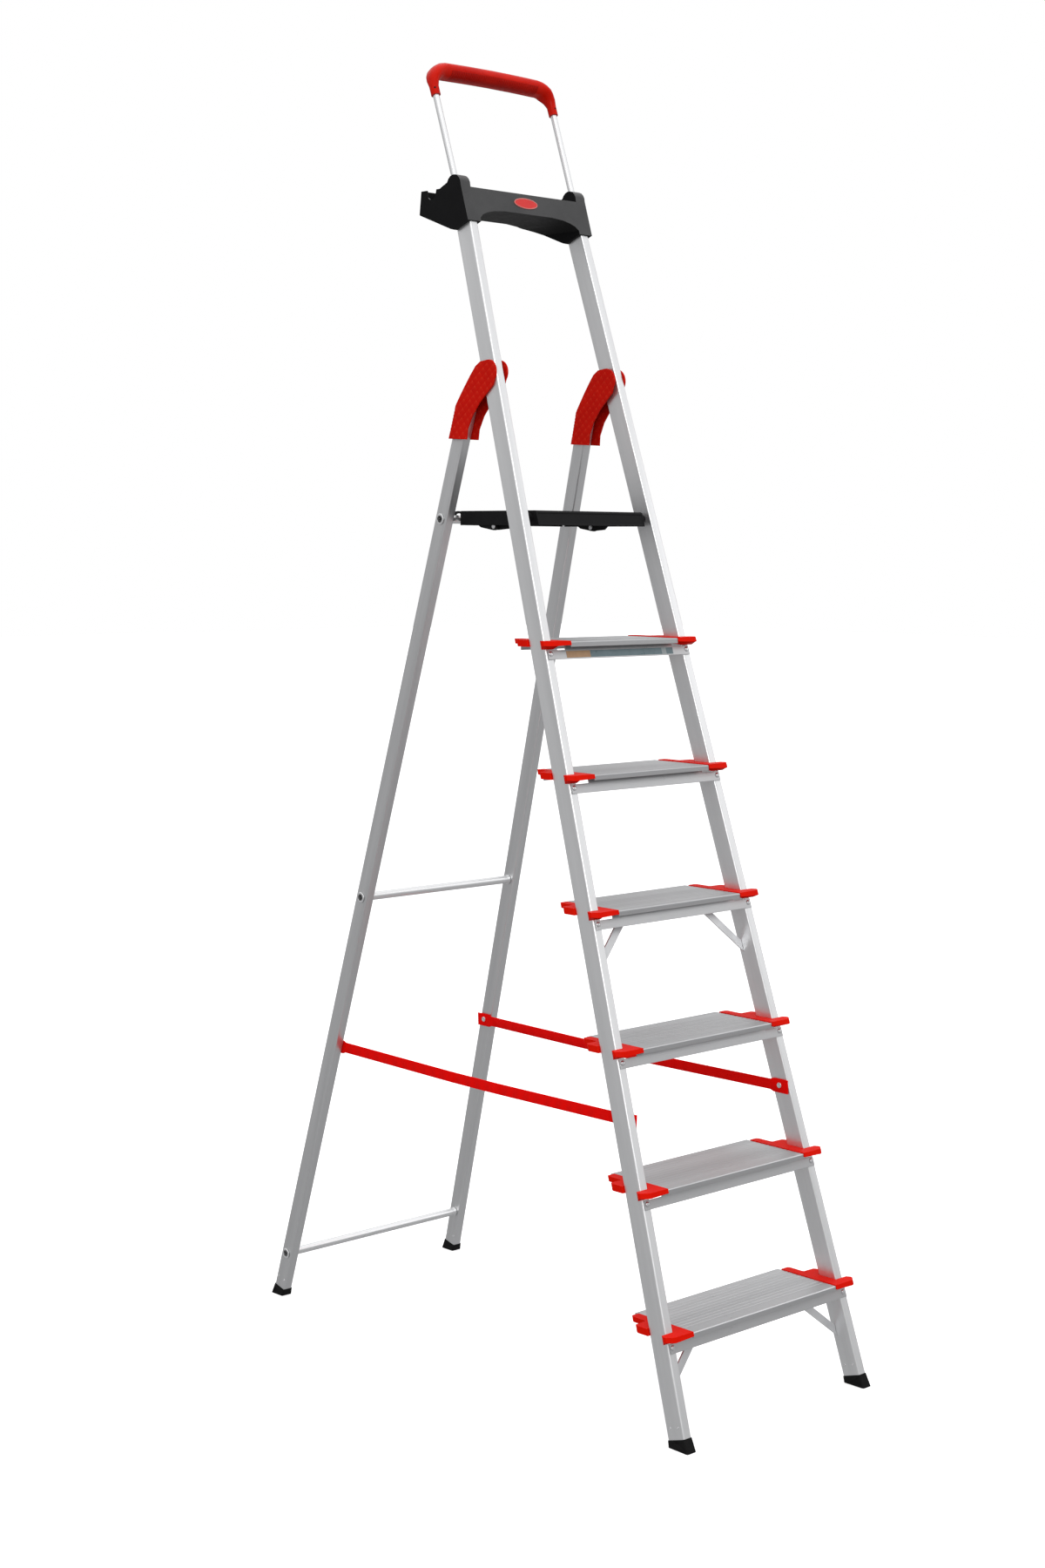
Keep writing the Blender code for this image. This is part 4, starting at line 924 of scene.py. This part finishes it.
# %% Badge
enamel = plastic(
    "badge_enamel", (0.70, 0.016, 0.012), (0.60, 0.010, 0.008), (0.75, 0.10, 0.08),
    rough=0.25, grain=1500.0, pits=0.04, mottle=60.0, scuffed=0.10, shine=0.3, coat=0.3,
)
rim_paint = plastic(
    "badge_rim", (0.62, 0.20, 0.18), (0.55, 0.15, 0.13), (0.5, 0.3, 0.3),
    rough=0.30, grain=1500.0, pits=0.05, mottle=60.0, scuffed=0.10, shine=0.3, coat=0.2,
)
BADGE_X, BADGE_Z = -0.002, 2.160
BADGE_HALF_LENGTH, BADGE_HALF_HEIGHT, BADGE_THICKNESS = 0.0295, 0.0105, 0.0016
ENAMEL_HALF_LENGTH, ENAMEL_HALF_HEIGHT, ENAMEL_SHARE = 0.0290, 0.0100, 0.72
FRONT_PROUD_OF_STILE, BADGE_LIFT, RIM_WIDTH, ENAMEL_SINK = 0.0030, 0.0006, 0.0011, 0.0003
badge_y = face_y(BADGE_Z) - FRONT_PROUD_OF_STILE / math.cos(FRONT_LEAN)
badge_place = Vector((BADGE_X, badge_y, BADGE_Z))
bpy.ops.object.select_all(action="DESELECT")
bpy.ops.mesh.primitive_cylinder_add(vertices=56, radius=1, depth=1)
badge = bpy.context.object
badge.name = "tray_badge"
badge.scale = (BADGE_HALF_LENGTH, BADGE_HALF_HEIGHT, BADGE_THICKNESS)
bpy.ops.object.transform_apply(scale=True)
bpy.ops.object.mode_set(mode="EDIT")
selected_faces(badge, lambda centre, normal: normal.z > 0.9)
bpy.ops.mesh.bevel(offset=0.0005, segments=2, affect="EDGES")
selected_faces(badge, lambda centre, normal: normal.z > 0.99)
bpy.ops.mesh.inset(thickness=RIM_WIDTH, depth=0)
bpy.ops.mesh.inset(thickness=0.0002, depth=-ENAMEL_SINK)
bpy.ops.object.mode_set(mode="OBJECT")
badge_up = facing.cross(Vector((1, 0, 0)))
badge_axes = Matrix((Vector((1, 0, 0)), badge_up, facing)).transposed().to_4x4()
badge.matrix_world = Matrix.Translation(badge_place + facing * BADGE_LIFT) @ badge_axes
settle(badge, rim_paint, "front_frame")
badge.data.materials.append(enamel)
for polygon in badge.data.polygons:
    offset = polygon.center - badge_place
    sideways, upward = offset.x / ENAMEL_HALF_LENGTH, offset.dot(badge_up) / ENAMEL_HALF_HEIGHT
    if polygon.normal.dot(facing) > 0.95 and sideways**2 + upward**2 < ENAMEL_SHARE:
        polygon.material_index = 1
print("badge:", len(badge.data.polygons), "faces")

# %% [markdown]
# ## Pits and screws
# A set blind rivet shows a hole where its mandrel snapped off. The tread rivets get one each: a
# small black button let into the head, which paints the shade in the hole. The same dark button,
# again painted shade, stands for the screw in its hole that holds each collar of the grip on its
# tube. On the left collar it is turned outwards, and on the right one it faces front.

# %% Pits and screws
PIT_RADIUS, PIT_HEIGHT, HEAD_FROM_MIDDLE = 0.0019, 0.0005, 0.0041
COLLAR_X, COLLAR_SCREW_RISE, COLLAR_RADIUS = 0.150, 0.0115, 0.0087
# Painted shade: each hole is a thin near-black disc, not a real recess.
pit = button("pit_master", PIT_RADIUS, PIT_HEIGHT)
for side in ("left", "right"):
    for number in range(1, 7):
        low, high = (Vector(corner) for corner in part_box(f"tread_rivet_{number}_{side}"))
        place = (low + high) / 2 + facing * HEAD_FROM_MIDDLE
        dark = copy_of(pit, f"tread_rivet_pit_{number}_{side}", place, facing)
        settle(dark, shadow_black, "front_frame")
for sign, side in ((-1, "left"), (1, "right")):
    out_of_collar = Vector((-0.55, -0.80, 0.0)).normalized() if sign < 0 else Vector((0.0, -1.0, 0.0))
    out_of_collar = (out_of_collar - handle_up * out_of_collar.dot(handle_up)).normalized()
    collar = grip_base + Vector((sign * COLLAR_X, 0, 0)) + handle_up * COLLAR_SCREW_RISE
    screw = copy_of(pit, f"collar_screw_{side}", collar + out_of_collar * COLLAR_RADIUS, out_of_collar)
    settle(screw, shadow_black, "front_frame")
bpy.data.objects.remove(pit)
print("pits and screws set")

# %% [markdown]
# ## Label
# The top tread carries a foil label on its apron, left blank here: a tan block, a long blue-grey
# band and a pale square. It is a thin box cut across with bisect, and each stretch gets its own
# foil. A ray cast straight at the apron finds the plane to stick it on.

# %% Label
tan_foil = plastic(
    "label_tan", (0.45, 0.27, 0.14), (0.36, 0.21, 0.11), (0.50, 0.42, 0.34),
    rough=0.35, grain=1500.0, pits=0.03, mottle=60.0, scuffed=0.25, shine=0.4,
)
blue_foil = plastic(
    "label_blue_grey", (0.15, 0.21, 0.23), (0.11, 0.165, 0.185), (0.30, 0.34, 0.35),
    rough=0.32, grain=1500.0, pits=0.03, mottle=60.0, scuffed=0.30, shine=0.4,
)
pale_foil = plastic(
    "label_pale", (0.34, 0.38, 0.39), (0.28, 0.32, 0.33), (0.42, 0.45, 0.46),
    rough=0.32, grain=1500.0, pits=0.03, mottle=60.0, scuffed=0.25, shine=0.4,
)
LABEL_BELOW_TOP, LABEL_LENGTH, LABEL_HEIGHT, LABEL_THICKNESS = 0.0235, 0.276, 0.0124, 0.0003
TAN_END, PALE_START, PALE_END = -0.0780, 0.1080, 0.1200
label_z = tread_tops[5] - LABEL_BELOW_TOP
bpy.context.view_layer.update()
top_tread = bpy.data.objects["tread_6_finished"]
hit, apron, apron_normal, _ = top_tread.ray_cast(Vector((0, -1, label_z)), Vector((0, 1, 0)))
print("apron found:", hit, [round(c, 4) for c in apron])
bpy.ops.object.select_all(action="DESELECT")
bpy.ops.mesh.primitive_cube_add(size=1)
label = bpy.context.object
label.name = "apron_label"
label.scale = (LABEL_LENGTH, LABEL_HEIGHT, LABEL_THICKNESS)
bpy.ops.object.transform_apply(scale=True)
bpy.ops.object.mode_set(mode="EDIT")
for cut_x in (TAN_END, PALE_START, PALE_END):
    bpy.ops.mesh.select_all(action="SELECT")
    bpy.ops.mesh.bisect(plane_co=(cut_x, 0, 0), plane_no=(1, 0, 0))
bpy.ops.object.mode_set(mode="OBJECT")
apply_modifier(
    label, "BEVEL", width=0.00008, segments=1, limit_method="ANGLE", angle_limit=math.radians(60)
)
for foil in (tan_foil, blue_foil, pale_foil):
    label.data.materials.append(foil)
for polygon in label.data.polygons:
    x = polygon.center.x
    polygon.material_index = 0 if x < TAN_END else 2 if PALE_START < x < PALE_END else 1
up_apron = apron_normal.cross(Vector((1, 0, 0)))
label_axes = Matrix((Vector((1, 0, 0)), up_apron, apron_normal)).transposed().to_4x4()
label.matrix_world = Matrix.Translation(apron + apron_normal * (LABEL_THICKNESS / 2 + 0.00002)) @ label_axes
alone(label)
bpy.ops.object.transform_apply(location=True, rotation=True, scale=True)
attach(label, "front_frame")
print("label:", len(label.data.polygons), "faces")
